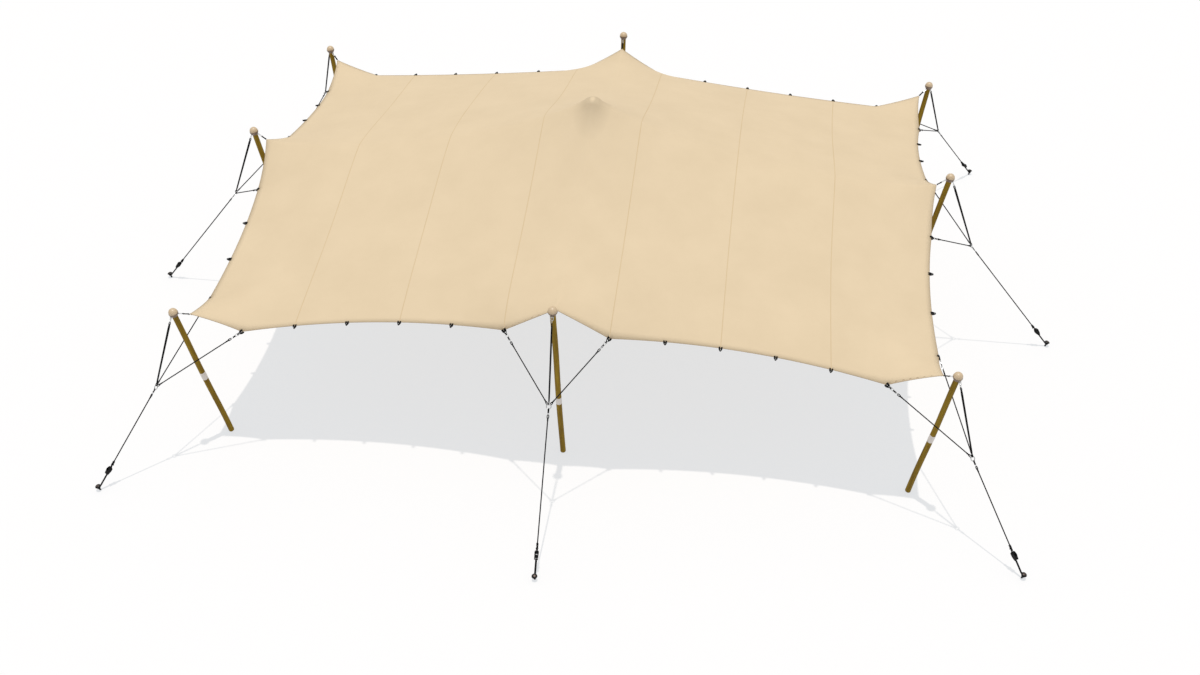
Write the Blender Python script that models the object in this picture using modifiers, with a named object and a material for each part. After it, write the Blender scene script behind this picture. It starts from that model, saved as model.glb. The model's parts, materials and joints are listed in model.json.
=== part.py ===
"""Stretch tent: a sewn stretch canopy on eight leaning edge poles and one centre pole,
held by eight stays with ratchet tensioners and ground pegs.

Metres, +Z up, origin on the ground under the peak. +X is the long way of the tent and the
front is at -Y. Every size below is real.
"""

import math

import bmesh
import bpy
import numpy as np
from mathutils import Matrix, Vector
from mathutils.bvhtree import BVHTree

# Flat cut of the canopy: seven panels side by side, with a hem tab every TAB_STEP
FLAT_LENGTH = 10.5
FLAT_WIDTH = 7.5
PANELS = 7
PANEL_WIDTH = FLAT_LENGTH / PANELS
TAB_STEP = 0.75
FABRIC = 0.004
SEAM_GAP = 0.0005

# Stretched hem of one quarter (x, y, z), from the corner to the front pole and to the side pole
CORNER_TIP = (5.140, 3.730, 2.300)
FRONT_TAB_OUTER = (4.437, 3.718, 2.050)
FRONT_TAB_INNER = (0.718, 3.685, 2.430)
FRONT_TIP = (0.0, 3.710, 2.868)
SIDE_TAB_OUTER = (5.152, 3.022, 2.045)
SIDE_TAB_INNER = (5.106, 0.787, 2.456)
SIDE_TIP = (5.159, 0.0, 2.876)
SHORT_BOW = 0.020
FRONT_BOW = (0.140, 0.045)
SIDE_BOW = (0.070, 0.022)

# Pulls in the fabric, relative to the pull along Y
PULL_X = 2.257
PULL_RIDGE = 2.091
PULL_CROSS = 2.298
LIFT = 0.0443
PEAK_Z = 3.965
PEAK_CURVE = 0.160
PEAK_REACH = 0.145

# Grid lines of the net between the tabs, finer around the peak
CELLS_PER_TAB = 2
PEAK_LINES = (0.10, 0.22, 0.45)

# Rigs of one quarter: pole foot, ball centre, steel ring and peg, on the ground where no height
CORNER_RIG = {"foot": (4.985, 3.583), "ball": (5.299, 3.880, 2.428),
              "ring": (5.635, 4.232, 1.334), "peg": (6.431, 5.029)}
END_RIG = {"foot": (0.0, 3.396), "ball": (0.0, 3.923, 3.012),
           "ring": (0.0, 4.431, 1.790), "peg": (0.0, 5.885)}
SIDE_RIG = {"foot": (4.815, 0.0), "ball": (5.343, 0.0, 3.016),
            "ring": (5.843, 0.0, 1.816), "peg": (7.284, 0.0)}
PLACES = (("front_left", -1, -1), ("front_centre", 0, -1), ("front_right", 1, -1),
          ("right_middle", 1, 0), ("back_right", 1, 1), ("back_centre", 0, 1),
          ("back_left", -1, 1), ("left_middle", -1, 0))

# Poles and their heads
POLE_RADIUS = 0.040
POLE_KINK = 0.008
POLE_KINK_TURN = 5.0
POLE_TURN = 0.9
POLE_BENDS = (0.0, 0.25, 0.5, 0.75, 0.92, 1.0)
SLEEVE_WALL = 0.003
SLEEVE_LENGTH = 0.135
SLEEVE_HEIGHT = 1.21
BALL_RADIUS = 0.064
CUP_TOP = 0.034
CUP_BOTTOM = 0.048
CUP_RADIUS = 0.048
SOCKET_TOP = 0.022
BALL_ARC_STEPS = 6

# Middle pole's mushroom head: its rim is (share of the radius, depth under the shoulder)
CENTRE_RADIUS = 0.045
CROWN_RADIUS = 0.125
CROWN_SLOPE = 0.46
CROWN_FLAT = 0.8
CROWN_RIM = ((1.0, 0.010), (1.0, 0.020), (0.85, 0.030), (0.45, 0.045))
CROWN_DEPTH = 0.150
CROWN_SOCKET = 0.080
CROWN_SOCKET_WALL = 0.007

# Stays
BAND_HEIGHT = 0.012
BAND_WALL = 0.006
LINK_RADIUS = 0.005
STRAP_WIDTH = 0.020
STRAP_DEPTH = 0.022
STRAP_START = 0.075
BRIDLE_RADIUS = 0.006
ROPE_RADIUS = 0.0065
HEM_TAPER = 0.030
HEM_END_RADIUS = 0.0005
HEM_STEP = 0.0001
RING_RADIUS = 0.032
RING_WIRE = 0.005

# Ratchet tensioner on the lower end of the guy rope
SPOOL_TO_PEG = 0.335
WEBBING_WIDTH = 0.025
WEBBING_DEPTH = 0.003
HOOK_NEAR = 0.048
HOOK_LENGTH = 0.075
HOOK_WIDTH = 0.034
HOOK_DEPTH = 0.030
ROLL_RADIUS = 0.024
ROLL_EDGE = 0.0005
SPOOL_RADIUS = 0.008
SPOOL_CAP_RADIUS = 0.012
SPOOL_CAP_DEPTH = 0.0025
FRAME_INNER = 0.014
FRAME_PLATE = 0.003
FRAME_REACH = 0.064
FRAME_HEIGHT = 0.030
FRAME_LIP = 0.010
BOLT_RADIUS = 0.004
WEBBING_LAP = 0.008

# Lever of the ratchet, in its side view: x down the line and z away from it
LEVER_INNER = 0.022
LEVER_PLATE = 0.003
LEVER_HOLE = 0.0088
LEVER_SIDE_PLAY = 0.0006
LEVER_BOSS = 0.026
LEVER_EDGE = ((0.028, -0.025), (0.060, -0.018), (0.086, -0.009), (0.099, 0.001), (0.102, 0.012),
              (0.097, 0.022), (0.086, 0.0275), (0.064, 0.030), (0.042, 0.033), (0.018, 0.0355))
GRIP_RADIUS = 0.007
GRIP_AT = (0.086, 0.0185)
PAWL_START = 0.044
PAWL_END = 0.060
PAWL_HEIGHT = 0.0235
PAWL_DEPTH = 0.006

# Pegs
PEG_LEAN = math.radians(15.0)
PEG_RADIUS = 0.013
PEG_DOME = ((0.0, 0.100), (0.017, 0.0984), (0.030, 0.091), (0.037, 0.083),
            (0.037, 0.077))
PEG_NECK = 0.073
PEG_TIE = 0.042
TIE_WIDTH = 0.012
TIE_DEPTH = 0.012
TIE_WALL = 0.007
TIE_HEIGHT = 0.020

GAP = 0.0004
WELD = 0.0001
FINE_WELD = 0.00001
CLEAN = 0.000005
LAP = 0.010
TWIST = math.radians(7.0)
TURNED_SIDES = 12
CROWN_SIDES = 20
CURVED = math.radians(35.0)
UP = Vector((0.0, 0.0, 1.0))


def clear_scene():
    for obj in list(bpy.data.objects):
        bpy.data.objects.remove(obj, do_unlink=True)


def new_collection(name):
    collection = bpy.data.collections.new(name)
    bpy.context.scene.collection.children.link(collection)
    return collection


def new_material(name, colour, roughness, metallic=0.0):
    material = bpy.data.materials.new(name)
    material.use_nodes = True
    shader = material.node_tree.nodes["Principled BSDF"]
    shader.inputs["Base Color"].default_value = (*colour, 1.0)
    shader.inputs["Roughness"].default_value = roughness
    shader.inputs["Metallic"].default_value = metallic
    return material


def new_object(name, mesh, collection, material=None):
    obj = bpy.data.objects.new(name, mesh)
    collection.objects.link(obj)
    if material:
        obj.data.materials.append(material)
    return obj


def mesh_from(bm, name):
    bmesh.ops.recalc_face_normals(bm, faces=bm.faces)
    mesh = bpy.data.meshes.new(name)
    bm.to_mesh(mesh)
    bm.free()
    return mesh


def smooth(mesh):
    mesh.shade_smooth()
    mesh.set_sharp_from_angle(angle=CURVED)


def evaluated_mesh(obj, name):
    """The object's mesh with its modifiers applied; the object itself is removed."""
    bpy.context.view_layer.update()
    graph = bpy.context.evaluated_depsgraph_get()
    mesh = bpy.data.meshes.new_from_object(obj.evaluated_get(graph))
    mesh.name = name
    mesh.transform(obj.matrix_world)
    bpy.data.objects.remove(obj, do_unlink=True)
    return mesh


def axes_matrix(origin, x_axis, y_axis, z_axis):
    rotation = Matrix((x_axis, y_axis, z_axis)).transposed()
    return Matrix.Translation(origin) @ rotation.to_4x4()


def along(start, end, side=None):
    """Frame at start with Z towards end, and X as near to side as it can be."""
    z_axis = (end - start).normalized()
    side = side or (UP if abs(z_axis.z) < 0.9 else Vector((1.0, 0.0, 0.0)))
    x_axis = (side - z_axis * side.dot(z_axis)).normalized()
    return axes_matrix(start, x_axis, z_axis.cross(x_axis), z_axis)


def bar(start, end, radius, sides=6):
    """Round bar between two points, turned a little so that no facet lies along another piece."""
    bm = bmesh.new()
    length = (end - start).length
    matrix = along(start, end) @ Matrix.Translation((0, 0, length / 2))
    bmesh.ops.create_cone(bm, cap_ends=True, segments=sides, radius1=radius, radius2=radius,
                          depth=length, matrix=matrix @ Matrix.Rotation(TWIST, 4, "Z"))
    return mesh_from(bm, "bar")


def block(start, end, width, depth, side):
    """Flat bar between two points; its width lies along side."""
    bm = bmesh.new()
    length = (end - start).length
    size = Matrix.Diagonal((width, depth, length, 1.0))
    bmesh.ops.create_cube(bm, size=1.0, matrix=along(start, end, side)
                          @ Matrix.Translation((0, 0, length / 2)) @ size)
    return mesh_from(bm, "block")


def turned(profile, segments, frame, closed=False):
    """Solid turned about the frame's Z axis from a profile of (radius, height) pairs."""
    mesh = bpy.data.meshes.new("profile")
    count = len(profile)
    edges = [(i, i + 1) for i in range(count - 1)] + ([(count - 1, 0)] if closed else [])
    mesh.from_pydata([(radius, 0.0, height) for radius, height in profile], edges, [])
    obj = new_object("turned", mesh, CUTTERS)
    screw = obj.modifiers.new("turn", "SCREW")
    screw.steps = screw.render_steps = segments
    screw.use_merge_vertices = True
    screw.merge_threshold = FINE_WELD
    result = evaluated_mesh(obj, "turned")
    bm = bmesh.new()
    bm.from_mesh(result)
    bpy.data.meshes.remove(result)
    bmesh.ops.remove_doubles(bm, verts=bm.verts, dist=FINE_WELD)
    bmesh.ops.transform(bm, matrix=frame @ Matrix.Rotation(TWIST / 2, 4, "Z"), verts=bm.verts)
    return mesh_from(bm, "turned")


def line_to_hem(start, end, radius):
    """Round line whose last stretch tapers to a point at the fabric's hem."""
    length = (end - start).length
    profile = [(0.0, length), (HEM_END_RADIUS, length), (radius, length - HEM_TAPER),
               (radius, 0.0), (0.0, 0.0)]
    return turned(profile, 6, along(start, end))


def hoop(frame, radius, wire, segments=12, sides=5):
    """Ring of round wire about the frame's Z axis."""
    turns = [2 * math.pi * k / sides for k in range(sides)]
    profile = [(radius + wire * math.cos(a), wire * math.sin(a)) for a in turns]
    return turned(profile, segments, frame, closed=True)


def sleeve(frame, inner, wall, length, segments=8):
    """Short tube about the frame's Z axis, centred on its origin; inner is to its flats."""
    half = length / 2
    corner = inner / math.cos(math.pi / segments)
    profile = [(corner, -half), (corner + wall, -half), (corner + wall, half), (corner, half)]
    return turned(profile, segments, frame, closed=True)


def combined(name, meshes, operation="UNION"):
    """One mesh from several overlapping ones, joined to or cut from the first in turn."""
    first = new_object(name, meshes[0], CUTTERS)
    others = []
    for index, mesh in enumerate(meshes[1:]):
        other = new_object(f"{name}_{index}", mesh, CUTTERS)
        boolean = first.modifiers.new("join", "BOOLEAN")
        boolean.operation = operation
        boolean.solver = "EXACT"
        boolean.object = other
        others.append(other)
    result = evaluated_mesh(first, name)
    for other in others:
        bpy.data.objects.remove(other, do_unlink=True)
    bm = bmesh.new()
    bm.from_mesh(result)
    bpy.data.meshes.remove(result)
    bmesh.ops.remove_doubles(bm, verts=bm.verts, dist=CLEAN)
    bmesh.ops.dissolve_degenerate(bm, edges=bm.edges, dist=CLEAN)
    bmesh.ops.holes_fill(bm, edges=[edge for edge in bm.edges if edge.is_boundary], sides=4)
    return mesh_from(bm, name)


def place(name, mesh, frame, collection, material):
    """Object whose origin and axes are the frame's, from a mesh in world coordinates."""
    mesh.transform(frame.inverted())
    mesh.materials.clear()
    mesh.materials.append(material)
    for polygon in mesh.polygons:
        polygon.material_index = 0
    obj = new_object(name, mesh, collection)
    obj.matrix_world = frame
    return obj


def hem_line(points, bows, stops, positions):
    """Points on a hem at flat positions: straight from stop to stop, with a parabolic bow."""
    line = []
    for position in positions:
        span = int(np.searchsorted(stops, position, side="right")) - 1
        span = min(max(span, 0), len(stops) - 2)
        share = (position - stops[span]) / (stops[span + 1] - stops[span])
        start, end = np.array(points[span]), np.array(points[span + 1])
        line.append(start + (end - start) * share + np.array(bows[span]) * 4 * share * (1 - share))
    return np.array(line)


def mirrored(points, axis):
    """Half a hem followed by its mirror image along the axis."""
    flip = [1.0, 1.0, 1.0]
    flip[axis] = -1.0
    far = [tuple(a * b for a, b in zip(point, flip)) for point in points]
    return far + list(reversed(points[:-1]))


def grid_lines(half):
    """Flat positions of the net's lines from -half to half."""
    steps = round(half / TAB_STEP * CELLS_PER_TAB)
    lines = {round(half * k / steps, 6) for k in range(steps + 1)}
    lines = {line for line in lines if not 0 < line < TAB_STEP} | set(PEAK_LINES)
    return np.array(sorted({-line for line in lines} | lines))


def fixed_net(u, v):
    """Net with its hem and its peak in place, and which of its points are held there."""
    net = np.zeros((len(u), len(v), 3))
    held = np.zeros((len(u), len(v)), bool)
    short, (bow_in, bow_up) = SHORT_BOW, FRONT_BOW
    front = mirrored([CORNER_TIP, FRONT_TAB_OUTER, FRONT_TAB_INNER, FRONT_TIP], 0)
    bows = [(0, -short, 0), (0, -bow_in, bow_up), (0, -short, -short / 2)]
    half, tab = FLAT_LENGTH / 2, TAB_STEP
    stops = [-half, -half + tab, -tab, 0.0, tab, half - tab, half]
    back = hem_line(front, bows + bows[::-1], stops, u)
    net[:, -1] = back
    net[:, 0] = back * (1, -1, 1)
    bow_in, bow_up = SIDE_BOW
    side = mirrored([CORNER_TIP, SIDE_TAB_OUTER, SIDE_TAB_INNER, SIDE_TIP], 1)
    bows = [(-short, 0, 0), (-bow_in, 0, bow_up), (-short, 0, -short / 2)]
    half = FLAT_WIDTH / 2
    stops = [-half, -half + tab, -tab, 0.0, tab, half - tab, half]
    right = hem_line(side, bows + bows[::-1], stops, v)
    net[-1] = right
    net[0] = right * (-1, 1, 1)
    held[0] = held[-1] = held[:, 0] = held[:, -1] = True
    for i, j in np.ndindex(len(u), len(v)):
        reach = math.hypot(u[i], v[j])
        if reach <= PEAK_REACH:
            net[i, j] = (u[i], v[j], PEAK_Z - reach ** 2 / (2 * PEAK_CURVE))
            held[i, j] = True
    return net, held


def canopy_net(u, v):
    """Balanced shape of the stretched fabric: every free point rests under the pulls on it."""
    net, held = fixed_net(u, v)
    place_of = np.full(held.shape, -1)
    place_of[~held] = np.arange((~held).sum())
    count = int((~held).sum())
    pulls = np.zeros((count, count))
    loads = np.zeros((count, 3))
    share_u, share_v = np.gradient(u), np.gradient(v)

    def tie(a, b, pull):
        for one, other in ((a, b), (b, a)):
            row = place_of[one]
            if row < 0:
                continue
            pulls[row, row] += pull
            if place_of[other] >= 0:
                pulls[row, place_of[other]] -= pull
            else:
                loads[row] += pull * net[other]

    ridge, cross = len(v) // 2, len(u) // 2
    for i, j in np.ndindex(len(u), len(v)):
        if not held[i, j]:
            loads[place_of[i, j], 2] += LIFT * share_u[i] * share_v[j]
        if i + 1 < len(u):
            pull = PULL_X * share_v[j] + (PULL_RIDGE if j == ridge else 0.0)
            tie((i, j), (i + 1, j), pull / (u[i + 1] - u[i]))
        if j + 1 < len(v):
            pull = share_u[i] + (PULL_CROSS if i == cross else 0.0)
            tie((i, j), (i, j + 1), pull / (v[j + 1] - v[j]))
    net[~held] = np.linalg.solve(pulls, loads)
    return net


def canopy_panel(name, net, inset_left, inset_right):
    """One strip of fabric: a grid laid on its part of the net and thickened straight down."""
    rows, columns = net.shape[:2]
    net = net.copy()
    net[0, :, 0] += inset_left
    net[-1, :, 0] -= inset_right
    net[:, :, 2] += FABRIC / 2
    bm = bmesh.new()
    bmesh.ops.create_grid(bm, x_segments=rows - 1, y_segments=columns - 1, size=1.0)
    for vert in bm.verts:
        i = round((vert.co.x + 1) / 2 * (rows - 1))
        j = round((vert.co.y + 1) / 2 * (columns - 1))
        vert.co = net[i, j]
    lower = bmesh.ops.extrude_face_region(bm, geom=bm.faces[:], use_keep_orig=True)
    moved = [item for item in lower["geom"] if isinstance(item, bmesh.types.BMVert)]
    bmesh.ops.translate(bm, verts=moved, vec=(0, 0, -FABRIC))
    panel = new_object(name, mesh_from(bm, name), PARTS, CANOPY)
    smooth(panel.data)
    return BVHTree.FromPolygons([vert.co for vert in panel.data.vertices],
                                [polygon.vertices for polygon in panel.data.polygons])


def build_canopy():
    """The panels from left to right; a search tree of each one's surface is returned."""
    u, v = grid_lines(FLAT_LENGTH / 2), grid_lines(FLAT_WIDTH / 2)
    net = canopy_net(u, v)
    surfaces = []
    for index in range(PANELS):
        left = -FLAT_LENGTH / 2 + index * PANEL_WIDTH
        first = int(np.argmin(abs(u - left)))
        last = int(np.argmin(abs(u - left - PANEL_WIDTH)))
        surfaces.append(canopy_panel(f"canopy_panel_{index + 1}", net[first:last + 1],
                                     SEAM_GAP / 2 if index else 0.0,
                                     SEAM_GAP / 2 if index < PANELS - 1 else 0.0))
    return surfaces


def hem_end(hem_point, origin):
    """Where a line from origin to a point of the hem stops, just clear of the fabric."""
    way = (origin - hem_point).normalized()
    end = hem_point.copy()
    while min(surface.find_nearest(end)[3] for surface in SURFACES) < HEM_END_RADIUS + GAP:
        end += way * HEM_STEP
    return end


def pole_mesh(foot, top, radius, phase):
    """Slightly crooked round pole with its sleeve, cut level with the ground."""
    axis = (top - foot).normalized()
    start = foot - axis * 2 * radius
    side = axis.orthogonal().normalized()
    across = axis.cross(side)
    curve = bpy.data.curves.new("pole", "CURVE")
    curve.dimensions = "3D"
    curve.bevel_depth = radius
    curve.bevel_resolution = 3
    curve.use_fill_caps = True
    bends = []
    for share in POLE_BENDS:
        kink = POLE_KINK * math.sin(math.pi * min(share / POLE_BENDS[-2], 1.0))
        turn = phase + POLE_KINK_TURN * share
        aside = (side * math.cos(turn) + across * math.sin(turn)) * kink
        bends.append(start.lerp(top, share) + aside)
    spline = curve.splines.new("POLY")
    spline.points.add(len(bends) - 1)
    for bend, point in zip(bends, spline.points):
        point.co = (*bend, 1.0)
    obj = bpy.data.objects.new("pole", curve)
    CUTTERS.objects.link(obj)
    mesh = evaluated_mesh(obj, "pole")
    bm = bmesh.new()
    bm.from_mesh(mesh)
    bmesh.ops.remove_doubles(bm, verts=bm.verts, dist=WELD)
    cut = bmesh.ops.bisect_plane(bm, geom=bm.verts[:] + bm.edges[:] + bm.faces[:], dist=0.0,
                                 plane_co=(0, 0, 0), plane_no=(0, 0, -1), clear_outer=True)
    rim = [item for item in cut["geom_cut"] if isinstance(item, bmesh.types.BMEdge)]
    bmesh.ops.contextual_create(bm, geom=rim)
    pole = mesh_from(bm, "pole")
    ends = []
    for half in (-SLEEVE_LENGTH / 2, SLEEVE_LENGTH / 2):
        share = (SLEEVE_HEIGHT + half + 2 * radius) / (top - start).length
        ends.append(Vector([np.interp(share, POLE_BENDS, line) for line in zip(*bends)]))
    return combined("pole", [pole, bar(ends[0], ends[1], radius + SLEEVE_WALL, 12)])


def build_pole(name, foot, top, radius, phase):
    mesh = pole_mesh(foot, top, radius, phase)
    frame = along(foot, top)
    smooth(place(name, mesh, frame, PARTS, WOOD).data)


def build_head(name, ball, axis):
    """Turned ball on a cup whose socket holds the pole's top."""
    neck = math.pi - math.acos(CUP_TOP / BALL_RADIUS)
    arc = [(math.sin(a) * BALL_RADIUS, math.cos(a) * BALL_RADIUS)
           for a in np.linspace(0.0, neck, BALL_ARC_STEPS + 1)]
    socket = (POLE_RADIUS + GAP) / math.cos(math.pi / TURNED_SIDES)
    profile = arc + [(CUP_RADIUS, -CUP_BOTTOM), (socket, -CUP_BOTTOM),
                     (socket, -SOCKET_TOP), (0.0, -SOCKET_TOP)]
    frame = along(ball, ball + axis)
    smooth(place(name, turned(profile, TURNED_SIDES, frame), frame, PARTS, BALL).data)


def build_centre():
    """Middle pole and the mushroom head that carries the peak."""
    top = PEAK_Z - FABRIC / 2 - GAP
    shoulder = top - CROWN_SLOPE * CROWN_RADIUS
    socket = (CENTRE_RADIUS + GAP) / math.cos(math.pi / CROWN_SIDES)
    socket_top = top - CROWN_SOCKET
    edge = CROWN_FLAT * CROWN_RADIUS
    profile = [(0.0, top), (edge, top - CROWN_SLOPE * edge)]
    profile += [(share * CROWN_RADIUS, shoulder - depth) for share, depth in CROWN_RIM]
    profile += [(socket + CROWN_SOCKET_WALL, top - CROWN_DEPTH), (socket, top - CROWN_DEPTH),
                (socket, socket_top), (0.0, socket_top)]
    frame = Matrix.Identity(4)
    smooth(place("centre_head", turned(profile, CROWN_SIDES, frame), frame, PARTS, BALL).data)
    build_pole("centre_pole", Vector((0, 0, 0)), Vector((0, 0, socket_top - GAP)),
               CENTRE_RADIUS, 0.0)


def signed(point, sx, sy):
    x, y = point[0] * (sx or 1), point[1] * (sy or 1)
    return Vector((x, y, point[2] if len(point) > 2 else 0.0))


def rig_points(sx, sy):
    """Foot, ball, ring and peg of one place, with the canopy's tip and the two bridled tabs."""
    if sx and sy:
        rig, tip = CORNER_RIG, CORNER_TIP
        tabs = [signed(FRONT_TAB_OUTER, sx, sy), signed(SIDE_TAB_OUTER, sx, sy)]
    elif sy:
        rig, tip = END_RIG, FRONT_TIP
        tabs = [signed(FRONT_TAB_INNER, side, sy) for side in (-1, 1)]
    else:
        rig, tip = SIDE_RIG, SIDE_TIP
        tabs = [signed(SIDE_TAB_INNER, sx, side) for side in (-1, 1)]
    points = {key: signed(value, sx, sy) for key, value in rig.items()}
    points["tip"] = signed(tip, sx, sy)
    points["tabs"] = tabs
    return points


def peg_frame(points):
    """Frame at the peg's foot, Z along the leaning shaft."""
    outward = points["peg"] - points["ring"]
    outward.z = 0.0
    outward.normalize()
    axis = outward * math.sin(PEG_LEAN) + UP * math.cos(PEG_LEAN)
    return along(points["peg"], points["peg"] + axis, outward)


def line_frame(points):
    """Frame on the ratchet's spool: X down the line, Z away from the tent, Y along the spool."""
    tie = peg_frame(points) @ Vector((0.0, 0.0, PEG_TIE))
    down = (tie - points["ring"]).normalized()
    outward = Vector((down.x, down.y, 0.0)).normalized()
    across = UP.cross(outward)
    return axes_matrix(tie - down * SPOOL_TO_PEG, down, across, down.cross(across))


def ratchet_pieces(line, tie_side):
    """Hook, webbing, wound roll, spool, frame plates, bolt and the tie's two legs to the peg."""
    def at(x, y=0.0, z=0.0):
        return line @ Vector((x, y, z))

    across = line.to_3x3().col[1]
    hook_end = -HOOK_NEAR - HOOK_LENGTH
    roll_end = WEBBING_WIDTH / 2 + ROLL_EDGE
    pieces = [block(at(hook_end), at(-HOOK_NEAR), HOOK_WIDTH, HOOK_DEPTH, across),
              block(at(-HOOK_NEAR - LAP), at(0.0), WEBBING_WIDTH, WEBBING_DEPTH, across),
              bar(at(0, -roll_end), at(0, roll_end), ROLL_RADIUS, 10)]
    reach = LEVER_INNER + LEVER_PLATE + LEVER_SIDE_PLAY
    spool_end = reach + SPOOL_CAP_DEPTH / 2
    pieces.append(bar(at(0, -spool_end), at(0, spool_end), SPOOL_RADIUS, 8))
    for side in (-1, 1):
        pieces.append(bar(at(0, side * reach), at(0, side * (reach + SPOOL_CAP_DEPTH)),
                          SPOOL_CAP_RADIUS, 8))
        middle = side * (FRAME_INNER + FRAME_PLATE / 2)
        pieces.append(block(at(-FRAME_HEIGHT / 2, middle), at(FRAME_REACH + FRAME_LIP, middle),
                            FRAME_PLATE, FRAME_HEIGHT, across))
    bolt = FRAME_INNER + FRAME_PLATE / 2
    pieces.append(bar(at(FRAME_REACH, -bolt), at(FRAME_REACH, bolt), BOLT_RADIUS))
    pieces.append(block(at(FRAME_REACH - WEBBING_LAP), at(tie_side), TIE_WIDTH, TIE_DEPTH,
                        across))
    return pieces


def build_guy(name, points):
    """Everything that runs from the pole's neck to the peg, made fast in one piece."""
    ball, ring = points["ball"], points["ring"]
    pole_axis = (ball - points["foot"]).normalized()
    band_centre = ball - pole_axis * (CUP_BOTTOM + GAP + BAND_HEIGHT / 2)
    band_radius = POLE_RADIUS + 2 * GAP
    pieces = [sleeve(along(band_centre, ball), band_radius, BAND_WALL, BAND_HEIGHT,
                     TURNED_SIDES)]

    line = line_frame(points)
    down, across = line.to_3x3().col[0], line.to_3x3().col[1]
    face = line.to_3x3().col[2]
    pieces.append(hoop(axes_matrix(ring, down, across, face), RING_RADIUS, RING_WIRE))

    def band_edge(target):
        way = target - band_centre
        way = (way - pole_axis * way.dot(pole_axis)).normalized()
        return band_centre + way * (band_radius + BAND_WALL / 2)

    def ring_edge(target):
        way = target - ring
        way = (way - face * way.dot(face)).normalized()
        return ring + way * RING_RADIUS

    inner = band_edge(points["tip"])
    pieces.append(line_to_hem(inner, hem_end(points["tip"], inner), LINK_RADIUS))
    outer, strap_end = band_edge(ring), ring_edge(ball)
    strap_start = outer + (strap_end - outer).normalized() * STRAP_START
    pieces.append(bar(outer, strap_start, LINK_RADIUS))
    lapped = strap_start - (strap_end - outer).normalized() * LAP
    pieces.append(block(lapped, strap_end, STRAP_WIDTH, STRAP_DEPTH, across))
    for tab in points["tabs"]:
        end = ring_edge(tab)
        pieces.append(line_to_hem(end, hem_end(tab, end), BRIDLE_RADIUS))
    hook = line @ Vector((-HOOK_NEAR - HOOK_LENGTH / 2, 0, 0))
    pieces.append(bar(ring + down * RING_RADIUS, hook, ROPE_RADIUS))
    peg = peg_frame(points)
    shaft = peg.to_3x3().col[2]
    clear = PEG_RADIUS + 2 * GAP + TIE_DEPTH / 2 * abs(down.dot(shaft))
    reach = clear / down.cross(shaft).length
    pieces.extend(ratchet_pieces(line, SPOOL_TO_PEG - reach))
    tie = peg @ Matrix.Translation((0, 0, PEG_TIE - reach * down.dot(shaft)))
    pieces.append(sleeve(tie, PEG_RADIUS + GAP, TIE_WALL, TIE_HEIGHT))
    place(name, combined(name, pieces), Matrix.Translation(ring), PARTS, CORDAGE)


def lever_outline():
    """Side view of the lever's cheek plate, round and deep at the spool, narrow at the grip."""
    turns = np.radians(np.linspace(105, 255, 7))
    return [(LEVER_BOSS * math.cos(a), LEVER_BOSS * math.sin(a)) for a in turns] + list(LEVER_EDGE)


def build_lever(name, line):
    """Two cheek plates joined by the grip and the pawl's bar, turning on the spool."""
    plates = []
    for side in (-1, 1):
        near = side * LEVER_INNER
        bm = bmesh.new()
        verts = [bm.verts.new((x, near, z)) for x, z in lever_outline()]
        face = bm.faces.new(verts)
        grown = bmesh.ops.extrude_face_region(bm, geom=[face], use_keep_orig=True)
        moved = [item for item in grown["geom"] if isinstance(item, bmesh.types.BMVert)]
        bmesh.ops.translate(bm, verts=moved, vec=(0, side * LEVER_PLATE, 0))
        plate = mesh_from(bm, "plate")
        hole = bar(Vector((0, near - LAP, 0)), Vector((0, near + LAP, 0)), LEVER_HOLE, 12)
        plates.append(combined("plate", [plate, hole], "DIFFERENCE"))
    half = LEVER_INNER + LEVER_PLATE / 2
    grip_x, grip_z = GRIP_AT
    grip = bar(Vector((grip_x, -half, grip_z)), Vector((grip_x, half, grip_z)), GRIP_RADIUS, 8)
    pawl = block(Vector((PAWL_START, 0, PAWL_HEIGHT)), Vector((PAWL_END, 0, PAWL_HEIGHT)),
                 2 * half, PAWL_DEPTH, Vector((0, 1, 0)))
    mesh = combined(name, plates + [grip, pawl])
    mesh.transform(line)
    place(name, mesh, line, PARTS, STEEL)


def build_peg(name, points):
    """Leaning steel shaft with a mushroom head, cut level with the ground."""
    frame = peg_frame(points)
    buried = -2 * PEG_RADIUS
    profile = list(PEG_DOME) + [(PEG_RADIUS, PEG_NECK), (PEG_RADIUS, buried), (0.0, buried)]
    mesh = turned(profile, TURNED_SIDES, frame)
    bm = bmesh.new()
    bm.from_mesh(mesh)
    cut = bmesh.ops.bisect_plane(bm, geom=bm.verts[:] + bm.edges[:] + bm.faces[:], dist=0.0,
                                 plane_co=(0, 0, 0), plane_no=(0, 0, -1), clear_outer=True)
    rim = [item for item in cut["geom_cut"] if isinstance(item, bmesh.types.BMEdge)]
    bmesh.ops.contextual_create(bm, geom=rim)
    smooth(place(name, mesh_from(bm, name), frame, PARTS, PEG_STEEL).data)


clear_scene()
PARTS = new_collection("stretch_tent")
CUTTERS = new_collection("cutters")
CANOPY = new_material("sand stretch fabric", (0.823, 0.658, 0.434), 0.85)
WOOD = new_material("varnished pole wood", (0.205, 0.122, 0.017), 0.55)
BALL = new_material("pale turned wood", (0.610, 0.485, 0.300), 0.50)
CORDAGE = new_material("black polyester webbing", (0.012, 0.012, 0.013), 0.80)
STEEL = new_material("black coated steel", (0.010, 0.010, 0.010), 0.40, 0.6)
PEG_STEEL = new_material("brown grey forged steel", (0.060, 0.050, 0.048), 0.50, 0.6)

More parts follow.
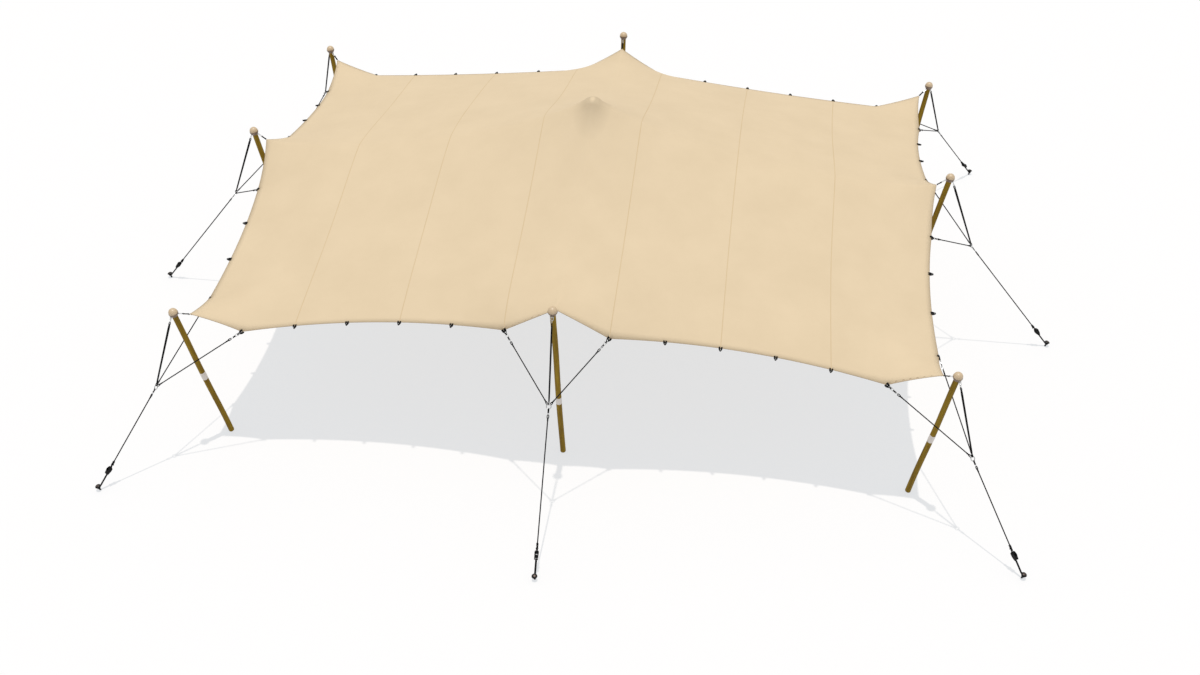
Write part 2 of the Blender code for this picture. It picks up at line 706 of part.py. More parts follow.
SURFACES = build_canopy()
build_centre()
for order, (place_name, side_x, side_y) in enumerate(PLACES):
    rig = rig_points(side_x, side_y)
    lean = (rig["ball"] - rig["foot"]).normalized()
    build_pole(f"pole_{place_name}", rig["foot"], rig["ball"] - lean * (SOCKET_TOP + GAP),
               POLE_RADIUS, POLE_TURN * order)
    build_head(f"head_{place_name}", rig["ball"], lean)
    build_guy(f"guy_{place_name}", rig)
    build_lever(f"ratchet_lever_{place_name}", line_frame(rig))
    build_peg(f"peg_{place_name}", rig)
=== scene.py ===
# %% [markdown]
# # A stretch tent
# A stretch tent is one large sheet of stretch fabric that leaning poles lift and stays pull tight.
# The imported solids already have its sizes, its pieces and its joints. This lesson dresses them:
# each step says what a piece is on the real tent and how it could be made, and then makes it.
# Lengths are in metres, +Z is up, and the origin is on the ground under the peak.

# %% Load the solids
import json
import math

import bmesh
import bpy
import numpy as np
from mathutils import Matrix, Vector


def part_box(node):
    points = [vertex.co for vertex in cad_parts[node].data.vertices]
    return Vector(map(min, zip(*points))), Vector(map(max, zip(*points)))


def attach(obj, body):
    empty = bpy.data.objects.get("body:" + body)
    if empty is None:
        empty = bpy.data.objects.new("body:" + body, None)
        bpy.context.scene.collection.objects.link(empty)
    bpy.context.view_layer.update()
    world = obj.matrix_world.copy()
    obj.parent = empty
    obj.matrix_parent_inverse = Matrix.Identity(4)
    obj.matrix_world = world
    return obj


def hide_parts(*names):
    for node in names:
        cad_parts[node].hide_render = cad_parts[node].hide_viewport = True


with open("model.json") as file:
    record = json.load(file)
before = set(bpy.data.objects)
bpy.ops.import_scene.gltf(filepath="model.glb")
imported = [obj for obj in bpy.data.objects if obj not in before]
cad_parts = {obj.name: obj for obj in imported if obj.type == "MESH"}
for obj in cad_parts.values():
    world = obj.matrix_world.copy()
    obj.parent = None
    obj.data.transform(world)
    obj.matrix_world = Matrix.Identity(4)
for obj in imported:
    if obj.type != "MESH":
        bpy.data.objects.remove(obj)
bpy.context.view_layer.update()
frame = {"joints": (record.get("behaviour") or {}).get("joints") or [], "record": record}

# %% [markdown]
# ## The camera
# The picture was taken from about 14 m up, looking down at 39 degrees from a little right of the
# middle. A camera could be aimed with a Track To constraint at a point on the tent. Here its
# three axes are worked out from heading, dip and roll, because those three angles are what a fit
# to the picture gives. The lens follows from the focal length in pixels of a 1200 pixel frame.

# %% Camera
IMAGE_WIDTH = 1200
FOCAL_PIXELS = 1409.4
SENSOR = 0.036
HEADING = math.radians(-7.684)
DIP = math.radians(38.946)
ROLL = math.radians(0.227)
CAMERA_PLACE = Vector((2.557, -18.248, 14.314))

look = Vector((math.sin(HEADING) * math.cos(DIP), math.cos(HEADING) * math.cos(DIP), -math.sin(DIP)))
level = Vector((math.cos(HEADING), -math.sin(HEADING), 0.0))
right = level * math.cos(ROLL) + look.cross(level) * math.sin(ROLL)
camera_up = right.cross(look)

lens = bpy.data.cameras.new("camera")
lens.sensor_width = SENSOR * 1000
lens.lens = FOCAL_PIXELS / IMAGE_WIDTH * SENSOR * 1000
lens.clip_end = 1500.0
camera = bpy.data.objects.new("camera", lens)
bpy.context.scene.collection.objects.link(camera)
turned = Matrix((right, camera_up, -look)).transposed().to_4x4()
camera.matrix_world = Matrix.Translation(CAMERA_PLACE) @ turned
bpy.context.scene.camera = camera
print("lens: %.1f mm" % lens.lens)

# %% [markdown]
# ## Light
# The picture has light from straight above, which draws the tent's own outline on the floor and
# shades the steep cloth round the peak, and soft light from all sides. One way is a set of large
# area lamps. A plain white world with one sun is simpler and stays the same from every side. The
# sun is a little wider than the real one, so its shadows have a soft edge of a few centimetres.

# %% Sky and sun
SKY_STRENGTH = 0.55
SUN_STRENGTH = 2.67
SUN_WIDTH = math.radians(0.9)
SUN_HEIGHT = 20.0

world = bpy.data.worlds.new("white sky")
world.use_nodes = True
world.node_tree.nodes["Background"].inputs["Color"].default_value = (1.0, 1.0, 1.0, 1.0)
world.node_tree.nodes["Background"].inputs["Strength"].default_value = SKY_STRENGTH
bpy.context.scene.world = world
sun = bpy.data.objects.new("sun", bpy.data.lights.new("sun", "SUN"))
sun.data.energy = SUN_STRENGTH
sun.data.angle = SUN_WIDTH
sun.location = (0.0, 0.0, SUN_HEIGHT)
bpy.context.scene.collection.objects.link(sun)
bpy.context.scene.view_settings.view_transform = "Standard"
print("light on level ground:", round(SKY_STRENGTH + SUN_STRENGTH / math.pi, 2))

# %% [markdown]
# ## Colours and nodes
# Colours are picked on a screen, so they come as sRGB hex values, and shaders want linear light.
# One function turns the one into the other. Another adds a node with its settings and its links,
# which keeps every material below short: an input is either a number or another node's socket.

# %% Colour and node helpers
def linear(code):
    """The linear colour of an sRGB hex value such as EAD4B0."""
    shares = [int(code[start:start + 2], 16) / 255 for start in (0, 2, 4)]
    curve = [share / 12.92 if share <= 0.04045 else ((share + 0.055) / 1.055) ** 2.4 for share in shares]
    return (*curve, 1.0)


def add_node(tree, kind, inputs=None, stops=(), **settings):
    """A node with its settings, its input values or links, and a colour ramp's stops."""
    node = tree.nodes.new(kind)
    for name, value in settings.items():
        setattr(node, name, value)
    for name, value in (inputs or {}).items():
        if isinstance(value, bpy.types.NodeSocket):
            tree.links.new(value, node.inputs[name])
        else:
            node.inputs[name].default_value = value
    if stops:
        marks = node.color_ramp.elements
        while len(marks) < len(stops):
            marks.new(1.0)
        for mark, (place, code) in zip(marks, stops):
            mark.position = place
            mark.color = linear(code)
    return node


def new_material(name, **values):
    """A material with its shader's constant values set; returns it with its tree and shader."""
    material = bpy.data.materials.new(name)
    material.use_nodes = True
    shader = material.node_tree.nodes["Principled BSDF"]
    for socket, value in values.items():
        shader.inputs[socket.replace("_", " ")].default_value = value
    return material, material.node_tree, shader


print("sand as linear light:", [round(share, 3) for share in linear("EAD4B0")[:3]])

# %% [markdown]
# ## The floor
# The floor is only there to catch the shadow. It is a single plain sheet, so wide that its edge is
# far outside the picture. A studio lights such a floor from below, through a white translucent
# sheet, so that it stays bright under a wide canopy too. The floor here glows in the same way, and
# the part of it that isn't glow takes the shadows.

# %% Floor
FLOOR_HALF = 700.0
FLOOR_GLOW = 0.686
GLOW_COLOUR = (0.914, 0.955, 1.0, 1.0)

sheet, tree, shader = new_material("white translucent floor sheet", Roughness=1.0, Specular_IOR_Level=0.0,
                                   Emission_Color=GLOW_COLOUR, Emission_Strength=FLOOR_GLOW)
speckle = add_node(tree, "ShaderNodeTexNoise", {"Scale": 0.4, "Detail": 2.0})
shade = add_node(tree, "ShaderNodeValToRGB", {"Fac": speckle.outputs["Fac"]},
                 stops=((0.3, "8D8781"), (0.7, "8F8983")))
tree.links.new(shade.outputs["Color"], shader.inputs["Base Color"])
bpy.ops.mesh.primitive_grid_add(x_subdivisions=4, y_subdivisions=4, size=2 * FLOOR_HALF)
floor = bpy.context.object
floor.name = "floor"
floor.data.materials.append(sheet)
print("floor:", 2 * FLOOR_HALF, "m wide")

# %% [markdown]
# ## Surfaces from rows of points
# Rope, webbing, wire and turned pieces all have one thing in common: the same outline, carried
# along a line or round an axis. Blender's curves with a bevel do this too, but they give no say
# in how the surface is unrolled. This helper joins rows of points into a closed surface and
# unrolls it in real metres, so that a weave or a braid has the same size on every piece.

# %% Skin over rows of points
def skin(bm, rows, loop=False):
    """A closed surface through rows of points, with a map in metres; returns its vertices."""
    metres = bm.loops.layers.uv.get("metres") or bm.loops.layers.uv.new("metres")
    rows = np.array(rows, float)
    count, sides = rows.shape[:2]
    middle = rows.mean(axis=1)
    middle = np.vstack([middle, middle[:1]]) if loop else middle
    along = np.concatenate([[0.0], np.cumsum(np.linalg.norm(np.diff(middle, axis=0), axis=1))])
    edges = np.linalg.norm(np.diff(rows, axis=1, append=rows[:, :1]), axis=2)
    across = np.hstack([np.zeros((count, 1)), np.cumsum(edges, axis=1)])
    verts = [[bm.verts.new(point) for point in row] for row in rows]
    for i in range(count if loop else count - 1):
        j = (i + 1) % count
        for k in range(sides):
            m = (k + 1) % sides
            face = bm.faces.new((verts[i][k], verts[i][m], verts[j][m], verts[j][k]))
            for corner, (row, side) in zip(face.loops, ((i, k), (i, k + 1), (i + 1, k + 1), (i + 1, k))):
                corner[metres].uv = (across[row % count][side], along[row])
    if not loop:
        bm.faces.new(verts[0][::-1])
        bm.faces.new(verts[-1])
    return verts


def round_section(radius, sides=10):
    turns = [2 * math.pi * k / sides for k in range(sides)]
    return [(radius * math.cos(turn), radius * math.sin(turn)) for turn in turns]


def flat_section(width, depth, corner=4):
    """A flat band with round edges, its width along the first axis."""
    half, end = width / 2 - depth / 2, depth / 2
    turns = [math.pi * (k / corner - 0.5) for k in range(corner + 1)]
    edge = [(half + end * math.cos(turn), end * math.sin(turn)) for turn in turns]
    return edge + [(-x, -y) for x, y in edge]


print("a 24 mm band has", len(flat_section(0.024, 0.003)), "points in its outline")

# %% [markdown]
# ## Carry, turn and cut out
# Three short functions use the skin: one carries an outline along a path without twisting it,
# one turns a profile round an axis as a lathe does, and one cuts a shape out of plate. The last
# one here puts a finished mesh in the scene, hides the solids that it stands for and lets it ride
# on its body.

# %% Making and placing helpers
SMOOTH_BELOW = math.radians(38.0)
SAME_POINT = 1e-6


def axes_at(origin, x_axis, y_axis, z_axis):
    return Matrix.Translation(origin) @ Matrix((x_axis, y_axis, z_axis)).transposed().to_4x4()


def along(start, end, side):
    """A frame at start with Z towards end, and X as near to side as it can be."""
    z_axis = (end - start).normalized()
    x_axis = (side - z_axis * side.dot(z_axis)).normalized()
    return axes_at(start, x_axis, z_axis.cross(x_axis), z_axis)


def sweep(bm, path, section, side, loop=False, growth=None):
    """Carries a section along a path; its first axis starts out along side."""
    rows = []
    for i, point in enumerate(path):
        before = path[i - 1] if i or loop else point
        after = path[(i + 1) % len(path)] if i < len(path) - 1 or loop else point
        way = (after - before).normalized()
        side = (side - way * side.dot(way)).normalized()
        other = way.cross(side)
        size = growth[i] if growth else 1.0
        rows.append([point + (side * x + other * y) * size for x, y in section])
    skin(bm, rows, loop)


def turn(bm, place, profile, sides=32, loop=False):
    """Turns a profile of (radius, height) pairs about the Z axis of a frame."""
    angles = [2 * math.pi * k / sides for k in range(sides)]
    skin(bm, [[place @ Vector((radius * math.cos(a), radius * math.sin(a), height)) for a in angles]
              for radius, height in profile], loop)


def plate(bm, place, outline, depth):
    """A plate cut to an outline in the frame's X and Y, its depth shared by both sides."""
    skin(bm, [[place @ Vector((x, y, height)) for x, y in outline] for height in (-depth / 2, depth / 2)])


def put(name, bm, material, body="tent", nodes=(), place=None, bevel=0.0):
    """Turns a finished bmesh into a piece of the tent that rides on a body."""
    bmesh.ops.remove_doubles(bm, verts=bm.verts, dist=SAME_POINT)
    bmesh.ops.dissolve_degenerate(bm, edges=bm.edges, dist=SAME_POINT)
    bmesh.ops.recalc_face_normals(bm, faces=bm.faces)
    mesh = bpy.data.meshes.new(name)
    bm.to_mesh(mesh)
    bm.free()
    mesh.materials.append(material)
    mesh.shade_smooth()
    mesh.set_sharp_from_angle(angle=SMOOTH_BELOW)
    piece = bpy.data.objects.new(name, mesh)
    bpy.context.scene.collection.objects.link(piece)
    if place:
        piece.matrix_world = place
    if bevel:
        rounding = piece.modifiers.new("rounded edges", "BEVEL")
        rounding.width = bevel
        rounding.segments = 2
        rounding.angle_limit = SMOOTH_BELOW
    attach(piece, body)
    if nodes:
        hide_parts(*nodes)
    return piece


print("edges flatter than", round(math.degrees(SMOOTH_BELOW)), "degrees are shaded smooth")

# %% [markdown]
# ## The canopy's shape
# The canopy is cut flat, 10.5 by 7.5 m, and takes its shape only from being pulled. A cloth
# simulation could find that shape, but it would take minutes and end a little different from the
# solids. Tent makers use a quicker way, force density: the sheet becomes a net whose threads pull
# with set forces, and the place of every knot follows from one set of linear equations.
# The tent is the same in all four quarters, so only one is solved, on a net four times finer
# than that of the solids. The hem's own line and the dome over the middle pole are held.

# %% Hem and pulls of the net
FLAT_LENGTH = 10.5
FLAT_WIDTH = 7.5
PANEL = 1.5
TAB_STEP = 0.75
TIP = {"corner": (5.140, 3.730, 2.300), "end": (0.0, 3.710, 2.868), "side": (5.159, 0.0, 2.876)}
LONG_TABS = ((0.718, 3.685, 2.430), (4.437, 3.718, 2.050))
SHORT_TABS = ((5.106, 0.787, 2.456), (5.152, 3.022, 2.045))
LONG_BOWS = ((0, -0.020, -0.010), (0, -0.140, 0.045), (0, -0.020, 0))
SHORT_BOWS = ((-0.020, 0, -0.010), (-0.070, 0, 0.022), (-0.020, 0, 0))
PULL_X = 2.257
PULL_RIDGE = 2.091
PULL_CROSS = 2.298
LIFT = 0.0443
PEAK_Z = 3.965
PEAK_DROP = 21.5
PEAK_REACH = 0.145
CELLS_PER_TAB = 8
PEAK_LINES = (0.03, 0.06, 0.10, 0.145)


def grid_lines(half):
    steps = round(half / TAB_STEP * CELLS_PER_TAB)
    return np.array(sorted({round(half * k / steps, 6) for k in range(steps + 1)} | set(PEAK_LINES)))


def hem_points(stations, bows, half, positions):
    """Points of a hem at flat positions: chords between its tabs, each with a shallow bow."""
    stops = [0.0, TAB_STEP, half - TAB_STEP, half]
    spans = np.clip(np.searchsorted(stops, positions, side="right") - 1, 0, 2)
    line = []
    for position, span in zip(positions, spans):
        share = (position - stops[span]) / (stops[span + 1] - stops[span])
        start, end = np.array(stations[span]), np.array(stations[span + 1])
        line.append(start + (end - start) * share + np.array(bows[span]) * 4 * share * (1 - share))
    return np.array(line)


lines_u, lines_v = grid_lines(FLAT_LENGTH / 2), grid_lines(FLAT_WIDTH / 2)
print("net of one quarter:", len(lines_u), "by", len(lines_v), "knots")

# %% [markdown]
# Each thread between two knots pulls with a force for each metre of its length. At rest the pulls
# on a knot add up to nothing, which is one equation a knot. A knot on the ridge or on the cross
# line has only half a net here, so it may slide along that line and takes half the pull of it.

# %% Solve one quarter and mirror it
def quarter_net(u, v):
    net = np.zeros((len(u), len(v), 3))
    held = np.zeros(net.shape, bool)
    net[:, -1] = hem_points([TIP["end"], *LONG_TABS, TIP["corner"]], LONG_BOWS, u[-1], u)
    net[-1] = hem_points([TIP["side"], *SHORT_TABS, TIP["corner"]], SHORT_BOWS, v[-1], v)
    held[:, -1] = held[-1] = True
    for i, j in np.ndindex(len(u), len(v)):
        reach = math.hypot(u[i], v[j])
        if reach <= PEAK_REACH:
            net[i, j] = (u[i], v[j], PEAK_Z - PEAK_DROP * reach ** 3)
            held[i, j] = True
    held[0, :, 0] = held[:, 0, 1] = True
    share_u, share_v = np.gradient(u), np.gradient(v)
    for share in (share_u, share_v):
        share[[0, -1]] /= 2
    threads = []
    for i, j in np.ndindex(len(u), len(v)):
        if i + 1 < len(u):
            pull = PULL_X * share_v[j] + (PULL_RIDGE / 2 if j == 0 else 0.0)
            threads.append(((i, j), (i + 1, j), pull / (u[i + 1] - u[i])))
        if j + 1 < len(v):
            pull = share_u[i] + (PULL_CROSS / 2 if i == 0 else 0.0)
            threads.append(((i, j), (i, j + 1), pull / (v[j + 1] - v[j])))
    load = LIFT * np.outer(share_u, share_v)
    for axis in range(3):
        balance(net[:, :, axis], held[:, :, axis], threads, load if axis == 2 else None)
    return net


def balance(heights, held, threads, load):
    """Moves the free knots of one coordinate to where their threads balance."""
    row_of = np.full(held.shape, -1)
    row_of[~held] = np.arange((~held).sum())
    count = int((~held).sum())
    pulls = np.zeros((count, count))
    forces = load[~held] if load is not None else np.zeros(count)
    for one, other, pull in threads:
        for knot, neighbour in ((one, other), (other, one)):
            row = row_of[knot]
            if row < 0:
                continue
            pulls[row, row] += pull
            if row_of[neighbour] >= 0:
                pulls[row, row_of[neighbour]] -= pull
            else:
                forces[row] += pull * heights[neighbour]
    heights[~held] = np.linalg.solve(pulls, forces)


quarter = quarter_net(lines_u, lines_v)
half_net = np.concatenate([quarter[:0:-1] * (-1, 1, 1), quarter])
net = np.concatenate([half_net[:, :0:-1] * (1, -1, 1), half_net], axis=1)
flat_u = np.concatenate([-lines_u[:0:-1], lines_u])
flat_v = np.concatenate([-lines_v[:0:-1], lines_v])
slope_u, slope_v = np.gradient(net, axis=0), np.gradient(net, axis=1)
normals = np.cross(slope_u, slope_v)
normals /= np.linalg.norm(normals, axis=2, keepdims=True)
print("peak at %.3f m, lowest hem at %.3f m" % (net[:, :, 2].max(), net[:, :, 2].min()))

# %% [markdown]
# ## Stretch fabric
# The cloth is a knitted polyester with a thin matt coating on both sides. Knitting gives rows of
# small V shaped stitches, and the coating fills them, so the surface is even and quite dull. Real
# stitches are 1 mm wide. They are drawn 4 mm wide here, the finest that a render of a close view
# can still show. The colour varies slowly, by a few percent, as the coating does over metres.

# %% Knitted polyester
STITCH = 0.004
STITCH_DEPTH = 0.0004
CLOUDS_PER_METRE = 1.2


def knit_material(name, light, dark, roughness=0.82):
    """Knitted fabric whose V stitches run along the panels."""
    material, tree, shader = new_material(name, Roughness=roughness, Specular_IOR_Level=0.12)
    place = add_node(tree, "ShaderNodeUVMap", uv_map="metres")
    scaled = add_node(tree, "ShaderNodeVectorMath",
                      {0: place.outputs["UV"], 1: (1 / STITCH, 1 / STITCH, 1.0)}, operation="MULTIPLY")
    parts = add_node(tree, "ShaderNodeSeparateXYZ", {0: scaled.outputs[0]})
    column = add_node(tree, "ShaderNodeMath", {0: parts.outputs["X"], 1: 1.0}, operation="PINGPONG")
    chevron = add_node(tree, "ShaderNodeMath", {0: parts.outputs["Y"], 1: column.outputs[0]}, operation="ADD")
    turned = add_node(tree, "ShaderNodeMath", {0: chevron.outputs[0], 1: 2 * math.pi}, operation="MULTIPLY")
    stitch = add_node(tree, "ShaderNodeMath", {0: turned.outputs[0]}, operation="SINE")
    bump = add_node(tree, "ShaderNodeBump", {"Strength": 0.35, "Distance": STITCH_DEPTH,
                                             "Height": stitch.outputs[0]})
    clouds = add_node(tree, "ShaderNodeTexNoise", {"Vector": place.outputs["UV"], "Detail": 5.0,
                                                   "Scale": CLOUDS_PER_METRE, "Roughness": 0.6})
    shade = add_node(tree, "ShaderNodeValToRGB", {"Fac": clouds.outputs["Fac"]},
                     stops=((0.3, dark), (0.7, light)))
    tree.links.new(shade.outputs["Color"], shader.inputs["Base Color"])
    tree.links.new(bump.outputs["Normal"], shader.inputs["Normal"])
    return material


knitted_polyester = knit_material("coated knitted polyester", "CDBA9C", "C8B597")
print("stitches drawn", STITCH * 1000, "mm wide")

# %% [markdown]
# ## Painted shade round the peak
# Round the peak the cloth's colour is made a shade darker. This is painted shade: the steep cloth
# there gets less of the light from above. It could be a piece of its own, but nothing of its shape
# shows. So it is a patch in the colour alone: an oval that is longer along the panels and fades over
# half a metre, measured on the map of the flat cut, whose origin is the peak.

# %% Painted shade: darker oval round the peak
PEAK_SHADE_NARROWER = 2.0

tree = knitted_polyester.node_tree
shader = tree.nodes["Principled BSDF"]
cloth_colour = shader.inputs["Base Color"].links[0].from_socket
place = add_node(tree, "ShaderNodeUVMap", uv_map="metres")
squeezed = add_node(tree, "ShaderNodeVectorMath",
                    {0: place.outputs["UV"], 1: (PEAK_SHADE_NARROWER, 1.0, 1.0)}, operation="MULTIPLY")
reach = add_node(tree, "ShaderNodeVectorMath", {0: squeezed.outputs[0]}, operation="LENGTH")
# Painted shade: the cloth's colour is darkened in this oval round the peak.
painted_peak_shade = add_node(tree, "ShaderNodeValToRGB", {"Fac": reach.outputs["Value"]},
                 stops=((0.04, "FFFFFF"), (0.10, "E9E9E9"), (0.22, "EFEFEF"), (0.60, "FFFFFF")))
peak_shaded_cloth = add_node(tree, "ShaderNodeVectorMath", {0: cloth_colour, 1: painted_peak_shade.outputs["Color"]},
                   operation="MULTIPLY")
tree.links.new(peak_shaded_cloth.outputs[0], shader.inputs["Base Color"])
print("patch:", 2 * 0.60 / PEAK_SHADE_NARROWER, "m wide")

# %% [markdown]
# ## The sheet
# The sheet is one mesh through all knots of the net. Its map is the flat cut itself, so the
# stitches stretch with the cloth where the cloth is stretched. Solidify gives it its thickness on
# both sides of the net.

# %% Canopy
FABRIC = 0.002

bm = bmesh.new()
metres = bm.loops.layers.uv.new("metres")
verts = [[bm.verts.new(point) for point in row] for row in net]
for i, j in np.ndindex(len(flat_u) - 1, len(flat_v) - 1):
    spots = ((i, j), (i + 1, j), (i + 1, j + 1), (i, j + 1))
    face = bm.faces.new([verts[a][b] for a, b in spots])
    for corner, (a, b) in zip(face.loops, spots):
        corner[metres].uv = (flat_u[a], flat_v[b])
canopy = put("canopy", bm, knitted_polyester, nodes=[f"canopy_panel_{n}" for n in range(1, 8)])
thickness = canopy.modifiers.new("thickness", "SOLIDIFY")
thickness.thickness = FABRIC
thickness.offset = 0.0
print("canopy:", len(canopy.data.polygons), "faces")

# %% [markdown]
# ## Seams
# The canopy is sewn from seven strips, 1.5 m wide. A seam is a flat overlap of two strips and
# shows as a fine raised line that follows the cloth. It could be drawn in the material only, but
# then it would have no edge to catch the light. So each seam is a thin band that goes through the
# sheet and stands 1 mm proud on both faces. Its cloth is the same knit, a shade darker and duller,
# because the rows of thread in it break up the coating.

# %% Seams
SEAM_WIDTH = 0.014
SEAM_DEPTH = 0.0040

sewn_overlap = knit_material("sewn overlap of knitted polyester", "C5B08F", "BFA987", 0.85)
bm = bmesh.new()
for seam in np.arange(-FLAT_LENGTH / 2 + PANEL, FLAT_LENGTH / 2 - PANEL / 2, PANEL):
    i = int(np.argmin(abs(flat_u - seam)))
    rows = []
    for j in range(len(flat_v)):
        point, normal = Vector(net[i, j]), Vector(normals[i, j])
        side = Vector(slope_v[i, j]).normalized().cross(normal).normalized()
        rows.append([point + side * x + normal * y for x, y in flat_section(SEAM_WIDTH, SEAM_DEPTH, 3)])
    skin(bm, rows)
put("seams", bm, sewn_overlap)
print("seams:", round(FLAT_LENGTH / PANEL) - 1)

# %% [markdown]
# ## Hem
# All round the edge the fabric is rolled over and sewn to a strong tape on its underside, which
# keeps it from tearing at the tabs. From above only the roll shows. Roll and tape are coloured
# darker than the cloth. This is painted shade for the shaded underside of the edge, and it shows as a fine
# darker line. One broad band would be quicker to make, but it would draw a border on the cloth that isn't
# there.
# Roll and tape are laid along the outermost knots, so they bend as the cloth does.

# %% Rolled hem and tape
HEM_WIDTH = 0.036
HEM_DEPTH = 0.0024
HEM_UNDER = 0.0020
ROLLED_EDGE = 0.0030

# Painted shade: the hem is coloured darker than the cloth, for the shaded underside of the edge.
hem_in_painted_shade = knit_material("rolled hem of knitted polyester", "A59279", "9A886F")
hem_edges = {"front": (net[:, 0], net[:, 1]), "back": (net[:, -1], net[:, -2]),
             "left": (net[0], net[1]), "right": (net[-1], net[-2])}
hem_frames = {}
bm = bmesh.new()
for edge, (outer, inner) in hem_edges.items():
    frames = []
    for k, point in enumerate(outer):
        way = Vector(outer[min(k + 1, len(outer) - 1)] - outer[max(k - 1, 0)]).normalized()
        inward = Vector(inner[k] - point)
        inward = (inward - way * inward.dot(way)).normalized()
        normal = way.cross(inward)
        frames.append((Vector(point), way, inward, -normal if normal.z < 0 else normal))
    hem_frames[edge] = frames
    roll, tape = [], []
    for point, way, inward, normal in frames:
        roll.append([point + inward * x + normal * y for x, y in round_section(ROLLED_EDGE, 8)])
        middle = point + inward * (HEM_WIDTH / 2) - normal * HEM_UNDER
        tape.append([middle + inward * x + normal * y for x, y in flat_section(HEM_WIDTH, HEM_DEPTH, 3)])
    skin(bm, roll)
    skin(bm, tape)
hem = put("hem", bm, hem_in_painted_shade)
print("hem:", len(hem.data.polygons), "faces")

# %% [markdown]
# ## Black webbing
# Straps, tabs and loops are woven from polyester yarn, dyed black. The weave has fine ribs across
# the band, about 1 mm apart, drawn 2 mm here, and the smooth yarn gives it a dull grey gloss.

# %% Woven polyester webbing
RIB = 0.002

woven_polyester, tree, shader = new_material("woven black polyester", Roughness=0.7, Specular_IOR_Level=0.15)
place = add_node(tree, "ShaderNodeUVMap", uv_map="metres")
ribs = add_node(tree, "ShaderNodeTexWave", {"Vector": place.outputs["UV"], "Scale": 1 / (3.14 * RIB),
                                            "Distortion": 0.6, "Detail": 1.0},
                bands_direction="Y")
bump = add_node(tree, "ShaderNodeBump", {"Strength": 0.5, "Distance": 0.0004, "Height": ribs.outputs["Fac"]})
dust = add_node(tree, "ShaderNodeTexNoise", {"Vector": place.outputs["UV"], "Scale": 40.0, "Detail": 4.0})
shade = add_node(tree, "ShaderNodeValToRGB", {"Fac": dust.outputs["Fac"]},
                 stops=((0.35, "040405"), (0.75, "0C0C0D")))
tree.links.new(shade.outputs["Color"], shader.inputs["Base Color"])
tree.links.new(bump.outputs["Normal"], shader.inputs["Normal"])
print("ribs drawn", RIB * 1000, "mm apart")

# %% [markdown]
# ## Hem tabs
# Every 0.75 m a tab of folded webbing is sewn to both faces of the hem, for a stay or a rope. Its
# two legs meet in a point that sticks out of the edge, with a steel eyelet through it. Each layer
# is cut from one outline. The tabs that carry no rope today are still there on the real tent. They
# are stiff, so they stand out nearly level, where laying them along the cloth would hide them.

# %% Tabs along the hem
TAB_WIDTH = 0.052
TAB_REACH = 0.056
TAB_SEWN = 0.018
TAB_DEPTH = 0.006
TAB_LAYER = 0.006
TAB_SLOPE = 0.2
EYELET_RADIUS = 0.0055
EYELET_WIRE = 0.0018


def tab_outline(width, reach):
    """Two legs of webbing that meet in a blunt point, from one side of the notch to the other."""
    half, leg, blunt = width / 2, 0.41 * width, 0.14 * width
    side = [(blunt, reach), (half, 0.25 * reach), (half, -TAB_SEWN), (half - leg, -TAB_SEWN),
            (half - leg, 0.08 * reach)]
    return side + [(0.0, 0.30 * reach)] + [(-x, y) for x, y in side[::-1]]


def add_tab(bm_webbing, bm_steel, point, way, outward, normal, width=TAB_WIDTH, reach=TAB_REACH):
    frame_here = axes_at(point, way, outward, normal)
    for side in (-1, 1):
        layer = frame_here @ Matrix.Translation((0, 0, side * TAB_LAYER))
        plate(bm_webbing, layer, tab_outline(width, reach), TAB_DEPTH)
        centre = point + outward * (0.68 * reach) + normal * (side * (TAB_LAYER + TAB_DEPTH / 2))
        circle = [centre + (way * math.cos(a) + outward * math.sin(a)) * EYELET_RADIUS
                  for a in np.linspace(0, 2 * math.pi, 13)[:-1]]
        sweep(bm_steel, circle, round_section(EYELET_WIRE, 6), normal, loop=True)


bridled = {"front": (-4.5, -0.75, 0.75, 4.5), "back": (-4.5, -0.75, 0.75, 4.5),
           "left": (-3.0, -0.75, 0.75, 3.0), "right": (-3.0, -0.75, 0.75, 3.0)}
bm_tabs, bm_eyelets = bmesh.new(), bmesh.new()
plain = 0
for edge, frames in hem_frames.items():
    positions = flat_u if edge in ("front", "back") else flat_v
    half = positions[-1]
    for position in np.arange(-half + TAB_STEP, half - TAB_STEP / 2, TAB_STEP):
        if min(abs(position - other) for other in (*bridled[edge], 0.0)) < TAB_STEP / 2:
            continue
        point, way, inward, normal = frames[int(np.argmin(abs(positions - position)))]
        outward = Vector((-inward.x, -inward.y, -inward.z * TAB_SLOPE))
        outward = (outward - way * outward.dot(way)).normalized()
        add_tab(bm_tabs, bm_eyelets, point, way, outward, way.cross(outward))
        plain += 1
print("tabs without a rope:", plain)

# %% [markdown]
# ## Where the rigs stand
# Eight times the same rig holds the tent: a leaning pole, a strap from its neck down to a steel
# ring, ropes from that ring back up to two tabs, and a guy rope from the ring to a ratchet and a
# peg. The feet, the pegs and the ratchets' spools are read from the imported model. The balls and
# the rings are driving sizes of one quarter of the tent, mirrored with the signs of the foot.

# %% Rig points
BALL_CENTRE = {"corner": (5.299, 3.880, 2.428), "end": (0.0, 3.923, 3.012), "side": (5.343, 0.0, 3.016)}
RING_CENTRE = {"corner": (5.635, 4.232, 1.334), "end": (0.0, 4.431, 1.790), "side": (5.843, 0.0, 1.816)}
BALL_RADIUS = 0.064
NECK_DROP = 0.0544
PEG_LEAN = math.radians(15.0)
UP = Vector((0.0, 0.0, 1.0))

mounts = {mount["name"]: Vector(mount["pos_m"]) for mount in frame["record"]["mounts"]}
hinges = {joint["name"]: joint for joint in frame["joints"]}


